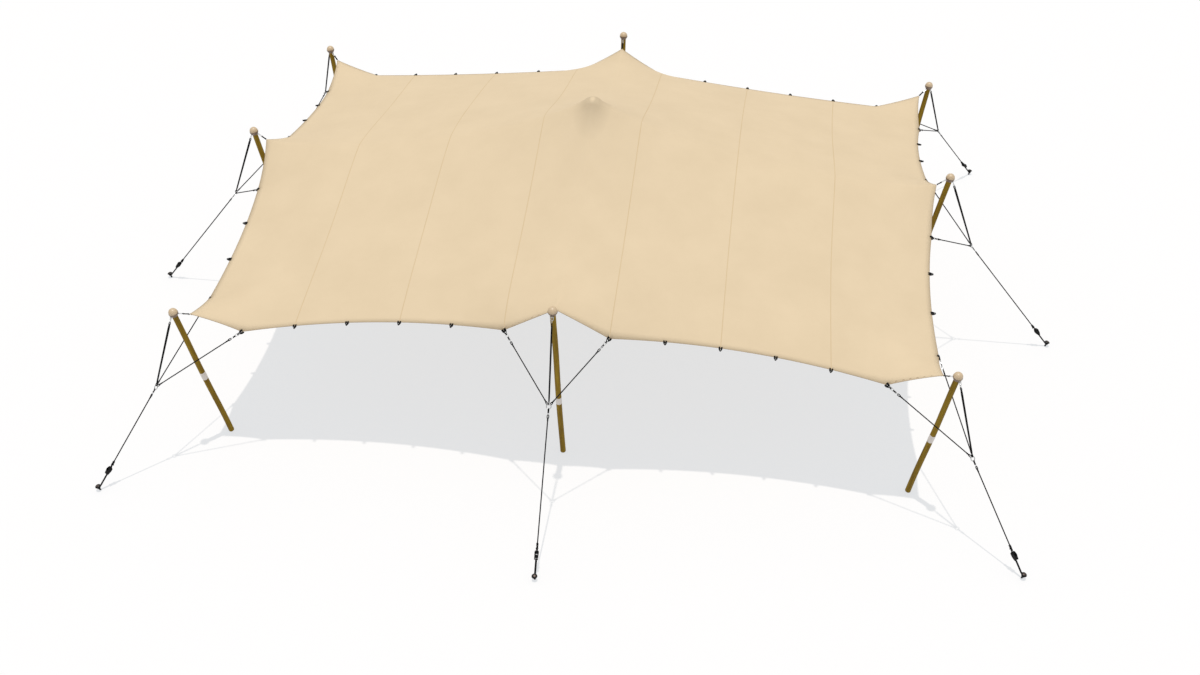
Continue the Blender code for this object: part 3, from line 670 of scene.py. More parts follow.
def rig_at(place):
    foot, peg = mounts["foot_" + place], mounts["peg_" + place]
    kind = "side" if abs(foot.y) < 1.0 else "end" if abs(foot.x) < 1.0 else "corner"
    flip = Vector((math.copysign(1.0, foot.x), math.copysign(1.0, foot.y), 1.0))
    tabs = {"corner": (LONG_TABS[1], SHORT_TABS[1]), "end": (LONG_TABS[0],) * 2, "side": (SHORT_TABS[0],) * 2}
    rig = {"foot": foot, "peg": peg, "tip": Vector(TIP[kind]) * flip,
           "ball": Vector(BALL_CENTRE[kind]) * flip, "ring": Vector(RING_CENTRE[kind]) * flip,
           "tabs": [Vector(tab) * flip for tab in tabs[kind]]}
    if kind == "end":
        rig["tabs"][1].x *= -1
    if kind == "side":
        rig["tabs"][1].y *= -1
    rig["lean"] = (rig["ball"] - foot).normalized()
    rig["neck"] = rig["ball"] - rig["lean"] * NECK_DROP
    hinge = hinges["lever_" + place]
    spool, across = Vector(hinge["pos_m"]), -Vector(hinge["axis"])
    rig["down"] = (spool - rig["ring"]).normalized()
    rig["across"] = across
    rig["line"] = axes_at(spool, rig["down"], across, rig["down"].cross(across))
    outward = peg - rig["ring"]
    outward.z = 0.0
    outward.normalize()
    shaft = outward * math.sin(PEG_LEAN) + UP * math.cos(PEG_LEAN)
    rig["stake"] = along(peg, peg + shaft, outward)
    return rig


rigs = {name[len("foot_"):]: rig_at(name[len("foot_"):]) for name in mounts
        if name.startswith("foot_") and name != "foot_centre_pole"}
misses = [abs(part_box("head_" + place)[1].z - rig["ball"].z - BALL_RADIUS) for place, rig in rigs.items()]
print("rigs:", len(rigs), "largest miss of a ball's top: %.1f mm" % (max(misses) * 1000))

# %% [markdown]
# ## Timber
# The poles are straight young trunks, debarked, sanded and varnished. They keep what a tree has:
# long grain, darker streaks where it was wounded, knots, and a slight crook. Grain is many times
# longer than wide, so the noise that draws it is squeezed along the pole. The pieces have their
# own frame, with Z up the pole, and the pattern is tied to that frame, so it leans with the pole.

# %% Varnished round timber
GRAIN = 0.012
GRAIN_STRETCH = 0.05

varnished_timber, tree, shader = new_material("varnished round timber", Roughness=0.6,
                                              Specular_IOR_Level=0.1)
place = add_node(tree, "ShaderNodeTexCoord")
knot = add_node(tree, "ShaderNodeAttribute", attribute_name="knot")
drawn = add_node(tree, "ShaderNodeMapping", {"Vector": place.outputs["Object"],
                                             "Scale": (1.0, 1.0, GRAIN_STRETCH)})
grain = add_node(tree, "ShaderNodeTexNoise", {"Vector": drawn.outputs[0], "Scale": 1 / GRAIN, "Detail": 6.0,
                                              "Roughness": 0.65, "Distortion": 0.8})
streaks = add_node(tree, "ShaderNodeTexNoise", {"Vector": drawn.outputs[0], "Scale": 22.0, "Detail": 3.0})
tone = add_node(tree, "ShaderNodeMath", {0: grain.outputs["Fac"], 1: 0.55, 2: 0.0}, operation="MULTIPLY")
tone = add_node(tree, "ShaderNodeMath", {0: streaks.outputs["Fac"], 1: 0.45, 2: tone.outputs[0]},
                operation="MULTIPLY_ADD")
tone = add_node(tree, "ShaderNodeMath", {0: knot.outputs["Fac"], 1: -0.35, 2: tone.outputs[0]},
                operation="MULTIPLY_ADD")
shade = add_node(tree, "ShaderNodeValToRGB", {"Fac": tone.outputs[0]},
                 stops=((0.2, "40300C"), (0.40, "705716"), (0.55, "8A6F1C"), (0.72, "A28828")))
bump = add_node(tree, "ShaderNodeBump", {"Strength": 0.4, "Distance": 0.001, "Height": grain.outputs["Fac"]})
tree.links.new(shade.outputs["Color"], shader.inputs["Base Color"])
tree.links.new(bump.outputs["Normal"], shader.inputs["Normal"])
print("grain:", GRAIN * 1000, "mm wide and", round(GRAIN / GRAIN_STRETCH * 1000), "mm long")

# %% [markdown]
# ## The crooked line of a pole
# A young trunk is never quite straight. A bent curve with a few points would do, but then its ends
# would have to be kept in place by hand. A sine that is zero at both ends bends the line by 8 mm at
# most, and turns slowly round it, so that no two poles bend in the same plane.

# %% Line of a pole
CROOK = 0.008
CROOK_SPAN = 0.92
CROOK_TURN = 5.0


def pole_line(foot, top, radius, phase):
    """The crooked line of a pole as a function of the height along it, in the pole's frame."""
    axis = (top - foot).normalized()
    place = along(foot, top, axis.orthogonal())
    buried, length = 2 * radius, (top - foot).length + 2 * radius

    def centre(height):
        share = (height + buried) / length
        crook = CROOK * math.sin(math.pi * min(share / CROOK_SPAN, 1.0))
        angle = phase + CROOK_TURN * share
        return Vector((crook * math.cos(angle), crook * math.sin(angle), height))
    return place, centre


print("largest crook:", CROOK * 1000, "mm")

# %% [markdown]
# ## Poles
# A pole could be a cylinder with a noise texture pushing its surface about. Knots are better made
# on purpose: each row of points sits on the crooked line, and a knot swells the surface in one
# place and leaves its strength in an attribute, so that the timber is darker there. The foot is
# rounded off and stands on the ground on its low side.

# %% Poles
POLE_RADIUS = 0.040
CENTRE_RADIUS = 0.045
POLE_TURN = 0.9
SOCKET_DROP = 0.0224
POLE_STEP = 0.020
POLE_SIDES = 28
KNOT_HEIGHT = 0.0022
KNOT_SPREAD = 0.020
KNOTS_PER_METRE = 3.2
WOBBLE = 0.0003
FOOT_ROUND = ((0.0, 0.009), (0.002, 0.0045), (0.005, 0.0015), (0.010, 0.0))


def make_pole(name, node, foot, top, radius, phase, seed):
    place, centre = pole_line(foot, top, radius, phase)
    length, chance = (top - foot).length, np.random.default_rng(seed)
    knots = [(chance.uniform(0.1, length - 0.1), chance.uniform(0, 2 * math.pi), chance.uniform(0.5, 1.0))
             for _ in range(round(length * KNOTS_PER_METRE))]
    waves = [(chance.uniform(1.5, 9.0), chance.uniform(0, 6.3), turns) for turns in (1, 2, 2, 3)]
    tilt = math.hypot(place.col[2].x, place.col[2].y)
    lift = max(((radius - inset) * tilt - height * place.col[2].z) for height, inset in FOOT_ROUND)
    start = lift / place.col[2].z
    heights = [start + height for height, _ in FOOT_ROUND]
    insets = [inset for _, inset in FOOT_ROUND]
    rest = np.arange(heights[-1] + POLE_STEP / 2, length, POLE_STEP)
    rows, strengths = [], []
    for height, inset in [*zip(heights, insets), *((h, 0.0) for h in rest), (length, 0.0)]:
        middle, row, strength = centre(height), [], []
        for k in range(POLE_SIDES):
            angle = 2 * math.pi * k / POLE_SIDES
            wobble = sum(math.sin(rate * height + shift + turns * angle) for rate, shift, turns in waves)
            swell = 0.0
            for at, facing, size in knots:
                off = math.atan2(math.sin(angle - facing), math.cos(angle - facing)) * radius
                swell += size * math.exp(-((height - at) ** 2 / 2.2 + off ** 2) / KNOT_SPREAD ** 2 * 3)
            wide = radius - inset + wobble * WOBBLE + KNOT_HEIGHT * min(swell, 1.0)
            row.append(middle + Vector((wide * math.cos(angle), wide * math.sin(angle), 0.0)))
            strength.append(swell)
        rows.append(row)
        strengths.append(strength)
    bm = bmesh.new()
    layer = bm.verts.layers.float.new("knot")
    for vert_row, strength_row in zip(skin(bm, rows), strengths):
        for vert, strength in zip(vert_row, strength_row):
            vert[layer] = min(strength ** 3, 1.0)
    return put(name, bm, varnished_timber, nodes=[node], place=place)


for order, (place_name, rig) in enumerate(rigs.items()):
    rig["top"] = rig["ball"] - rig["lean"] * SOCKET_DROP
    rig["phase"] = POLE_TURN * order
    make_pole("timber_" + place_name, "pole_" + place_name, rig["foot"], rig["top"], POLE_RADIUS,
              rig["phase"], order + 1)
centre_top = Vector((0.0, 0.0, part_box("centre_pole")[1].z))
make_pole("timber_centre", "centre_pole", Vector((0.0, 0.0, 0.0)), centre_top, CENTRE_RADIUS, 0.0, 20)
print("middle pole: %.2f m long" % centre_top.z)

# %% [markdown]
# ## Sleeves
# Each edge pole wears a white plastic sleeve, 135 mm long and 1.2 m up, where a hand holds it while
# it is raised. It is heat shrink tube in soft PVC: smooth, a little glossy, and slightly cloudy.

# %% White PVC sleeves
SLEEVE_LENGTH = 0.135
SLEEVE_HEIGHT = 1.21
SLEEVE_WALL = 0.0028

white_pvc, tree, shader = new_material("white soft PVC tube", Roughness=0.45, IOR=1.53)
place = add_node(tree, "ShaderNodeTexCoord")
haze = add_node(tree, "ShaderNodeTexNoise", {"Vector": place.outputs["Object"], "Scale": 18.0, "Detail": 4.0})
shade = add_node(tree, "ShaderNodeValToRGB", {"Fac": haze.outputs["Fac"]},
                 stops=((0.3, "CBC4BE"), (0.7, "DAD4CE")))
tree.links.new(shade.outputs["Color"], shader.inputs["Base Color"])
for place_name, rig in rigs.items():
    place, centre = pole_line(rig["foot"], rig["top"], POLE_RADIUS, rig["phase"])
    bm = bmesh.new()
    path = [centre(SLEEVE_HEIGHT + offset) for offset in np.linspace(-0.5, 0.5, 9) * SLEEVE_LENGTH]
    growth = [0.965, 0.995] + [1.0] * 5 + [0.995, 0.965]
    sweep(bm, path, round_section(POLE_RADIUS + SLEEVE_WALL, 32), Vector((1, 0, 0)), growth=growth)
    put("sleeve_" + place_name, bm, white_pvc, place=place)
print("sleeves:", len(rigs))

# %% [markdown]
# ## Balls
# A turned wooden ball closes the top of every pole, so that nothing sharp shows above the tent.
# Pale beech was turned and oiled: fine short flecks on a warm ground, with faint growth rings.
# A sphere would do, but its lower part would fill the cup. So an arc is turned instead, and the
# cup hides where it ends.

# %% Oiled beech balls
FLECK = 0.005

oiled_beech, tree, shader = new_material("oiled beech", Roughness=0.42, IOR=1.5)
place = add_node(tree, "ShaderNodeTexCoord")
drawn = add_node(tree, "ShaderNodeMapping", {"Vector": place.outputs["Object"], "Scale": (1.0, 1.0, 0.25)})
flecks = add_node(tree, "ShaderNodeTexNoise", {"Vector": drawn.outputs[0], "Scale": 1 / FLECK,
                                               "Detail": 4.0, "Roughness": 0.6})
growth_rings = add_node(tree, "ShaderNodeTexWave", {"Vector": place.outputs["Object"], "Scale": 18.0,
                                                    "Distortion": 3.0, "Detail": 2.0, "Detail Scale": 1.5},
                        bands_direction="X")
tone = add_node(tree, "ShaderNodeMath", {0: growth_rings.outputs["Fac"], 1: 0.25, 2: 0.0},
                operation="MULTIPLY")
tone = add_node(tree, "ShaderNodeMath", {0: flecks.outputs["Fac"], 1: 0.75, 2: tone.outputs[0]},
                operation="MULTIPLY_ADD")
shade = add_node(tree, "ShaderNodeValToRGB", {"Fac": tone.outputs[0]},
                 stops=((0.3, "AC987C"), (0.5, "BEA88A"), (0.75, "CCB797")))
bump = add_node(tree, "ShaderNodeBump", {"Strength": 0.2, "Distance": 0.0004,
                                         "Height": flecks.outputs["Fac"]})
tree.links.new(shade.outputs["Color"], shader.inputs["Base Color"])
tree.links.new(bump.outputs["Normal"], shader.inputs["Normal"])

BALL_LOW = math.radians(122.0)
for place_name, rig in rigs.items():
    rig["head"] = along(rig["ball"], rig["ball"] + rig["lean"], rig["across"])
    bm = bmesh.new()
    arc = [(BALL_RADIUS * math.sin(a), BALL_RADIUS * math.cos(a)) for a in np.linspace(0.0, BALL_LOW, 26)]
    turn(bm, Matrix.Identity(4), arc + [(0.0, arc[-1][1])], 40)
    put("ball_" + place_name, bm, oiled_beech, place=rig["head"])
print("balls:", 2 * BALL_RADIUS * 1000, "mm across")

# %% [markdown]
# ## Cups and neck bands
# The ball sits in a metal cup that narrows to the pole, and under the cup a steel band with two
# eyes takes the strap and the link to the canopy. The cup is cast zinc alloy, turned on a lathe
# and left dull, which gives a brown grey with fine rings round it. Both are turned profiles. The
# cup's wall has an inner and an outer side, so it is a real cup and not a plug.

# %% Dull zinc cups
LATHE_RING = 0.0012

dull_zinc, tree, shader = new_material("turned zinc alloy", Metallic=0.85, Roughness=0.42)
place = add_node(tree, "ShaderNodeTexCoord")
rings = add_node(tree, "ShaderNodeTexWave", {"Vector": place.outputs["Object"], "Distortion": 0.4,
                                             "Scale": 1 / (3.14 * LATHE_RING)}, bands_direction="Z")
stain = add_node(tree, "ShaderNodeTexNoise", {"Vector": place.outputs["Object"], "Scale": 30.0,
                                              "Detail": 5.0})
shade = add_node(tree, "ShaderNodeValToRGB", {"Fac": stain.outputs["Fac"]},
                 stops=((0.3, "73645A"), (0.7, "8C7B6E")))
bump = add_node(tree, "ShaderNodeBump", {"Strength": 0.25, "Distance": 0.0002,
                                         "Height": rings.outputs["Fac"]})
tree.links.new(shade.outputs["Color"], shader.inputs["Base Color"])
tree.links.new(bump.outputs["Normal"], shader.inputs["Normal"])

BAND_HEIGHT = 0.012
BAND_RADIUS = 0.0408
BAND_WALL = 0.006
CUP_BOTTOM = 0.048
CUP_RIM = -0.004
CUP_SEAT = -0.036


def cup_profile():
    """Outer wall from the rim down to the pole, and the inner wall back up to the rim."""
    bowl = [math.acos(height / BALL_RADIUS) for height in np.linspace(CUP_RIM, CUP_SEAT, 7)]
    outer = [(0.0655, CUP_RIM), (0.0668, CUP_RIM - 0.003), (0.0662, -0.015), (0.0640, -0.024),
             (0.0600, -0.033), (0.0550, -0.040), (0.0512, -0.044), (0.0490, -CUP_BOTTOM)]
    inner = [(POLE_RADIUS + 0.0012, -CUP_BOTTOM), (POLE_RADIUS + 0.0012, CUP_SEAT - 0.002)]
    inner += [(BALL_RADIUS * math.sin(a), BALL_RADIUS * math.cos(a)) for a in bowl[::-1]]
    return outer + inner


half = BAND_HEIGHT / 2
band = [(BAND_RADIUS, -half), (BAND_RADIUS + BAND_WALL * 0.7, -half), (BAND_RADIUS + BAND_WALL, -half * 0.6),
        (BAND_RADIUS + BAND_WALL, half * 0.6), (BAND_RADIUS + BAND_WALL * 0.7, half), (BAND_RADIUS, half)]
for place_name, rig in rigs.items():
    bm = bmesh.new()
    turn(bm, Matrix.Identity(4), cup_profile(), 40, loop=True)
    turn(bm, Matrix.Translation((0.0, 0.0, -NECK_DROP)), band, 32, loop=True)
    put("collar_" + place_name, bm, dull_zinc, nodes=["head_" + place_name], place=rig["head"])
print("cup:", round((CUP_RIM + CUP_BOTTOM) * 1000), "mm deep")

# %% [markdown]
# ## The middle pole's head
# The middle pole carries the peak on a wide wooden mushroom, so that it can't tear the fabric.
# It is seen only from under the canopy. The same beech is turned to the dome's own curve, with a
# round edge, and its socket grips the pole.

# %% Crown under the peak
bm = bmesh.new()
crown_low, crown_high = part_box("centre_head")
crown_radius = (crown_high.x - crown_low.x) / 2
profile = [(0.0, crown_high.z)]
profile += [(reach, crown_high.z - PEAK_DROP * reach ** 3)
            for reach in np.linspace(0.15, 0.96, 8) * crown_radius]
profile += [(crown_radius, crown_high.z - 0.050), (crown_radius * 0.99, crown_high.z - 0.064),
            (crown_radius * 0.9, crown_high.z - 0.078), (crown_radius * 0.55, crown_high.z - 0.094),
            (CENTRE_RADIUS + 0.010, crown_high.z - 0.115), (CENTRE_RADIUS + 0.008, crown_low.z + 0.004),
            (CENTRE_RADIUS + 0.006, crown_low.z), (CENTRE_RADIUS + 0.0005, crown_low.z),
            (CENTRE_RADIUS + 0.0005, centre_top.z + 0.0005), (0.0, centre_top.z + 0.0005)]
turn(bm, Matrix.Identity(4), profile, 48)
put("crown", bm, oiled_beech, nodes=["centre_head"])
print("crown: %.0f mm across" % (2000 * crown_radius))

# %% [markdown]
# ## Bright steel
# Rings, links and shackles are galvanised steel wire, bent and welded. The zinc is bright, with a
# faint spangle of crystals a few millimetres wide that makes it now lighter, now duller.

# %% Galvanised steel
SPANGLE = 0.004

galvanised_steel, tree, shader = new_material("galvanised steel", Metallic=1.0)
place = add_node(tree, "ShaderNodeTexCoord")
spangle = add_node(tree, "ShaderNodeTexVoronoi", {"Vector": place.outputs["Object"], "Scale": 1 / SPANGLE})
shade = add_node(tree, "ShaderNodeValToRGB", {"Fac": spangle.outputs["Distance"]},
                 stops=((0.1, "B9BBBC"), (0.8, "D9DADA")))
gloss = add_node(tree, "ShaderNodeMapRange", {"Value": spangle.outputs["Distance"],
                                              "To Min": 0.22, "To Max": 0.4})
tree.links.new(shade.outputs["Color"], shader.inputs["Base Color"])
tree.links.new(gloss.outputs["Result"], shader.inputs["Roughness"])


def oval(bm, start, end, side, width, wire):
    """A link of round wire between two points, its width along side."""
    way, half = (end - start).normalized(), width / 2
    side = (side - way * side.dot(way)).normalized()
    turns = np.linspace(0.0, math.pi, 9)
    path = [end - way * half + (side * math.cos(t) + way * math.sin(t)) * half for t in turns]
    path += [start + way * half - (side * math.cos(t) + way * math.sin(t)) * half for t in turns]
    sweep(bm, path, round_section(wire, 8), way.cross(side), loop=True)


def shackle(bm, pin, bow, side, width, wire):
    """A bow shackle: a bent U whose two eyes hold a pin."""
    way, half = (bow - pin).normalized(), width / 2
    side = (side - way * side.dot(way)).normalized()
    arc = [bow - way * half + (side * math.cos(t) + way * math.sin(t)) * half
           for t in np.linspace(0.0, math.pi, 11)]
    sweep(bm, [pin + side * half, *arc, pin - side * half], round_section(wire, 8), way.cross(side))
    for sign in (-1, 1):
        eye = pin + side * (sign * half)
        sweep(bm, [eye - side * wire * 1.2, eye + side * wire * 1.2], round_section(1.8 * wire, 12), way)
    reach = half + 2.6 * wire
    sweep(bm, [pin - side * reach, pin + side * reach], round_section(0.9 * wire, 10), way)


def hoop(bm, centre, x_axis, y_axis, radius, wire, steps=28):
    circle = [centre + (x_axis * math.cos(a) + y_axis * math.sin(a)) * radius
              for a in np.linspace(0.0, 2 * math.pi, steps + 1)[:-1]]
    sweep(bm, circle, round_section(wire, 8), x_axis.cross(y_axis), loop=True)


print("spangle:", SPANGLE * 1000, "mm")

# %% [markdown]
# ## Straps with sewn ends
# A strap is one length of webbing. Each end goes round a pin or a ring and is sewn back on itself
# for a few centimetres. A flat band with a loop at each end would look alike from afar, but not
# where the cloth is lapped. So its path starts on the back of the strap, goes round the first pin,
# down the whole length, round the second and a little way up again. The thread of the sewn part is
# a box with a cross in it, laid on top as real thread.

# %% Strap helper
STRAP_WIDTH = 0.024
STRAP_DEPTH = 0.0026
SPLAY = 0.022
THREAD_RADIUS = 0.0007


def sewn_strap(bm, top, bottom, across, top_wrap, bottom_wrap, sewn, width=STRAP_WIDTH):
    """A strap from one pin to another, each end lapped round it and sewn back."""
    way = (bottom - top).normalized()
    face = way.cross(across).normalized()
    lift = STRAP_DEPTH * 0.52
    path = [top + way * sewn + face * lift, top + way * (top_wrap + SPLAY) + face * lift]
    path += [top + (face * math.cos(t) - way * math.sin(t)) * top_wrap for t in np.linspace(0, math.pi, 9)]
    path += [top + way * (top_wrap + SPLAY) - face * lift, bottom - way * (bottom_wrap + SPLAY) - face * lift]
    path += [bottom + (way * math.sin(t) - face * math.cos(t)) * bottom_wrap
             for t in np.linspace(0, math.pi, 9)]
    path += [bottom - way * (bottom_wrap + SPLAY) + face * lift, bottom - way * sewn + face * lift]
    sweep(bm, path, flat_section(width, STRAP_DEPTH), across)
    for end, inward, wrap in ((top, way, top_wrap), (bottom, -way, bottom_wrap)):
        near, far, half = wrap + SPLAY + 0.004, sewn - 0.005, width * 0.36
        for sign in (-1, 1):
            height = face * (sign * (lift + STRAP_DEPTH / 2))
            corners = [(near, -half), (near, half), (far, half), (far, -half), (near, -half), (far, half)]
            thread = [end + inward * x + across * y + height for x, y in corners]
            sweep(bm, thread, round_section(THREAD_RADIUS, 4), face)


print("strap:", STRAP_WIDTH * 1000, "mm wide")

# %% [markdown]
# ## Slings
# The long stay between pole and ring is a round sling: a hank of yarn in a woven cover, bound tight
# so that it is thick and stiff, with a small eye at each end. It is thicker at the top, where the
# ends of the yarn are tucked in. Its outline is an oval that shrinks on the way down. The short tie
# between a ratchet and its peg is made in the same way, so the sizes are given to the function.

# %% Sling helper
SLING_WIDE = (0.0128, 0.0112)
SLING_DEEP = (0.0165, 0.0110)
SLING_ENDS = ((0.0, 0.35), (0.015, 0.75), (0.04, 0.95), (0.08, 1.0), (0.3, 1.0), (0.5, 1.0), (0.7, 1.0),
              (0.92, 1.0), (0.96, 0.95), (0.985, 0.8), (1.0, 0.4))


def sling(bm, top, bottom, across, wides, deeps, eye=0.034, wire=0.0060):
    """A bound sling from one pin to another, with an eye of bent yarn round each pin."""
    way = (bottom - top).normalized()
    face = way.cross(across).normalized()
    oval(bm, top - way * (wire + 0.002), top + way * eye, face, 3.6 * wire, wire)
    oval(bm, bottom - way * eye, bottom + way * (wire + 0.002), face, 3.6 * wire, wire)
    start, end = top + way * (eye - 2.5 * wire), bottom - way * (eye - 2.5 * wire)
    rows = []
    for share, size in SLING_ENDS:
        wide, deep = (size * (first + (last - first) * share) for first, last in (wides, deeps))
        rows.append([start.lerp(end, share) + across * (wide * x) + face * (deep * y)
                     for x, y in round_section(1.0, 16)])
    skin(bm, rows)


print("sling:", 2000 * SLING_DEEP[0], "mm thick at the top and", 2000 * SLING_DEEP[1], "mm at the ring")

# %% [markdown]
# ## Rope
# The ropes are braided polyester, black, about 16 mm thick. A braid has two sets of strands that
# wind in opposite ways and cross in small diamonds. Two sine waves over the map, leaning one way
# and the other, give that relief, with one diamond every 5 mm.

# %% Braided polyester rope
BRAID = 0.005

braided_polyester, tree, shader = new_material("braided black polyester", Roughness=0.6,
                                               Specular_IOR_Level=0.15)
place = add_node(tree, "ShaderNodeUVMap", uv_map="metres")
strands = []
for slant in (1.0, -1.0):
    rate = 2 * math.pi / BRAID
    lean = add_node(tree, "ShaderNodeVectorMath", {0: place.outputs["UV"], 1: (rate * slant, rate, 0.0)},
                    operation="DOT_PRODUCT")
    strands.append(add_node(tree, "ShaderNodeMath", {0: lean.outputs["Value"]}, operation="SINE"))
weave = add_node(tree, "ShaderNodeMath", {0: strands[0].outputs[0], 1: strands[1].outputs[0]},
                 operation="MAXIMUM")
bump = add_node(tree, "ShaderNodeBump", {"Strength": 0.6, "Distance": 0.0008, "Height": weave.outputs[0]})
# Painted shade: the hollows of the braid are coloured darker than its raised strands.
shade = add_node(tree, "ShaderNodeValToRGB", {"Fac": weave.outputs[0]},
                 stops=((0.0, "040405"), (1.0, "0D0D0E")))
tree.links.new(shade.outputs["Color"], shader.inputs["Base Color"])
tree.links.new(bump.outputs["Normal"], shader.inputs["Normal"])

ROPE_SLEEVE = 0.050
EYE = 0.045


def rope(bm, bm_sleeve, start, end, side, radius, width, knot_turns=0):
    """A taut rope with sleeved eyes at both ends, or with a knot of a few turns at its end."""
    way = (end - start).normalized()
    last = end if knot_turns else end - way * EYE * 0.8
    sweep(bm, [start + way * EYE * 0.8, last], round_section(radius, 12), side)
    for number in range(knot_turns):
        middle = end - way * (radius * (1.0 + 1.7 * number))
        slant = (side + way * 0.25).normalized()
        hoop(bm, middle, slant, way.cross(side), 0.0095, radius * 0.95, 20)
    for point, inward in ((start, way), (end, -way))[:1 if knot_turns else 2]:
        oval(bm, point, point + inward * EYE, side, width, radius * 0.8)
        throat = [point + inward * (EYE * 0.75 + share * ROPE_SLEEVE) for share in (0.0, 0.08, 0.92, 1.0)]
        sweep(bm_sleeve, throat, round_section(radius * 1.25, 12), side, growth=[0.9, 1.0, 1.0, 0.9])


print("diamonds every", BRAID * 1000, "mm")

# %% [markdown]
# ## Stays at the pole
# From the neck band a slim link and a short loop of webbing go to the tip of the canopy, and a
# shackle, a link and the long sling go down to the ring. The ring itself hangs in the balance of the
# sling, the two bridles and the guy rope.

# %% Neck, sling and ring
RING_RADIUS = 0.032
RING_WIRE = 0.0065
LUG_RADIUS = 0.011
TIP_LINK = 0.075
STAY_SHACKLE = (0.0, 0.048)
STAY_LINK = (0.043, 0.089)
SLING_FROM = 0.085


def spots(start, way, distances):
    """Points on a taut line, at distances from its start."""
    return [start + way * distance for distance in distances]


for place_name, rig in rigs.items():
    steel, webbing, cord = bmesh.new(), bmesh.new(), bmesh.new()
    rig["steel"], rig["webbing"], rig["cord"] = steel, webbing, cord
    neck, lean, ring = rig["neck"], rig["lean"], rig["ring"]
    hoop(steel, ring, rig["down"], rig["across"], RING_RADIUS, RING_WIRE)

    lugs = {}
    for key, target in (("tip", rig["tip"]), ("sling", ring)):
        way = target - neck
        way = (way - lean * way.dot(lean)).normalized()
        lug = neck + way * (BAND_RADIUS + BAND_WALL + LUG_RADIUS * 0.6)
        hoop(steel, lug, way, lean, LUG_RADIUS, 0.003, 16)
        lugs[key] = lug + (target - lug).normalized() * LUG_RADIUS * 0.4

    # Slim link and webbing loop to the tip of the canopy
    start, tip = lugs["tip"], rig["tip"]
    way = (tip - start).normalized()
    link = min(TIP_LINK, 0.5 * (tip - start).length)
    oval(steel, start, start + way * link, lean.cross(way), 0.020, 0.0030)
    sewn_strap(webbing, start + way * (link - 0.006), tip - way * 0.012, lean.cross(way).normalized(),
               0.005, 0.005, 0.045)

    # Shackle and sling down to the ring
    start = lugs["sling"]
    way = (ring - start).normalized()
    shackle(steel, *spots(start, way, STAY_SHACKLE), rig["across"], 0.030, 0.0042)
    oval(steel, *spots(start, way, STAY_LINK), way.cross(rig["across"]), 0.018, 0.0036)
    sling(webbing, start + way * SLING_FROM, ring - way * RING_RADIUS, rig["across"], SLING_WIDE,
          SLING_DEEP)
print("neck bands, slings and rings:", len(rigs))

# %% [markdown]
# ## Bridles
# Two bridles go from the ring up to the canopy's tabs, to spread the pull over its edge. The tab
# at the hem is a wide one. From it a webbing loop, a bow shackle, a short strap and a bright
# quick link follow each other, and then the rope. All lie on one straight line, because the
# bridle is taut, so each piece only needs its start and end along that line.

# %% Bridles
BRIDLE_RADIUS = 0.0078
WIDE_TAB = 0.062
WIDE_REACH = 0.056
TAB_LOOP = (0.036, 0.074)
TAB_SHACKLE = (0.072, 0.120)
SHORT_STRAP = (0.114, 0.158)
QUICK_LINK = (0.152, 0.192)
BRIDLE_FROM = 0.187


def hem_direction(point):
    """The hem's own direction at a point of it."""
    nearest = min(((frame_there[0] - point).length, number, frame_there[1]) for number, frame_there in
                  enumerate(spot for frames in hem_frames.values() for spot in frames))
    return nearest[2]


for place_name, rig in rigs.items():
    steel, webbing, cord = rig["steel"], rig["webbing"], rig["cord"]
    for tab in rig["tabs"]:
        way = (rig["ring"] - tab).normalized()
        hem_way = hem_direction(tab)
        side = (hem_way - way * hem_way.dot(way)).normalized()
        normal = side.cross(way)
        add_tab(webbing, steel, tab, side, way, normal, WIDE_TAB, WIDE_REACH)
        sewn_strap(webbing, *spots(tab, way, TAB_LOOP), side, 0.004, 0.005, 0.030, width=0.018)
        shackle(steel, *spots(tab, way, TAB_SHACKLE), side, 0.024, 0.0038)
        sewn_strap(webbing, *spots(tab, way, SHORT_STRAP), side, 0.004, 0.005, 0.034, width=0.020)
        oval(steel, *spots(tab, way, QUICK_LINK), normal, 0.016, 0.0032)
        ring_side = rig["line"].to_3x3().col[2]
        out = tab - rig["ring"]
        out = (out - ring_side * out.dot(ring_side)).normalized()
        rope(cord, webbing, tab + way * BRIDLE_FROM, rig["ring"] + out * (RING_RADIUS - 0.002), side,
             BRIDLE_RADIUS, 0.020)
print("bridles:", sum(len(rig["tabs"]) for rig in rigs.values()))

# %% [markdown]
# ## Guy ropes
# Below the ring a loop of webbing and a quick link take the guy rope, which runs down to the
# ratchet's hook. Its lower end is a loop with a knot of three turns, so that it can be made longer
# or shorter by hand. A spliced eye would be neater, but it would have only one length.

# %% Guy ropes
ROPE_RADIUS = 0.0082
GUY_LOOP = (0.0, 0.050)
GUY_LINK = (0.044, 0.084)
GUY_FROM = 0.080
KNOT_END = -0.082
KNOT_TURNS = 3

for place_name, rig in rigs.items():
    steel, webbing, cord = rig["steel"], rig["webbing"], rig["cord"]
    down, across, line = rig["down"], rig["across"], rig["line"]
    start = rig["ring"] + down * RING_RADIUS
    sewn_strap(webbing, *spots(start, down, GUY_LOOP), across, 0.0075, 0.005, 0.036, width=0.022)
    oval(steel, *spots(start, down, GUY_LINK), across, 0.016, 0.0032)
    knot = line @ Vector((KNOT_END, 0.0, 0.0))
    rope(cord, webbing, start + down * GUY_FROM, knot, across, ROPE_RADIUS, 0.022, KNOT_TURNS)
    oval(cord, knot - down * 0.012, knot + down * 0.024, line.to_3x3().col[2], 0.026, ROPE_RADIUS * 0.8)
print("guy rope: %.2f m" % (knot - start).length)

# %% [markdown]
# ## Black coated steel
# The ratchets are pressed from sheet steel and coated black. The coat is thin and a little
# glossy, and it wears off first on the edges, where grey steel shows. Wear on edges could be
# painted by hand. Here the Geometry node's pointiness finds the edges and a noise breaks them up.

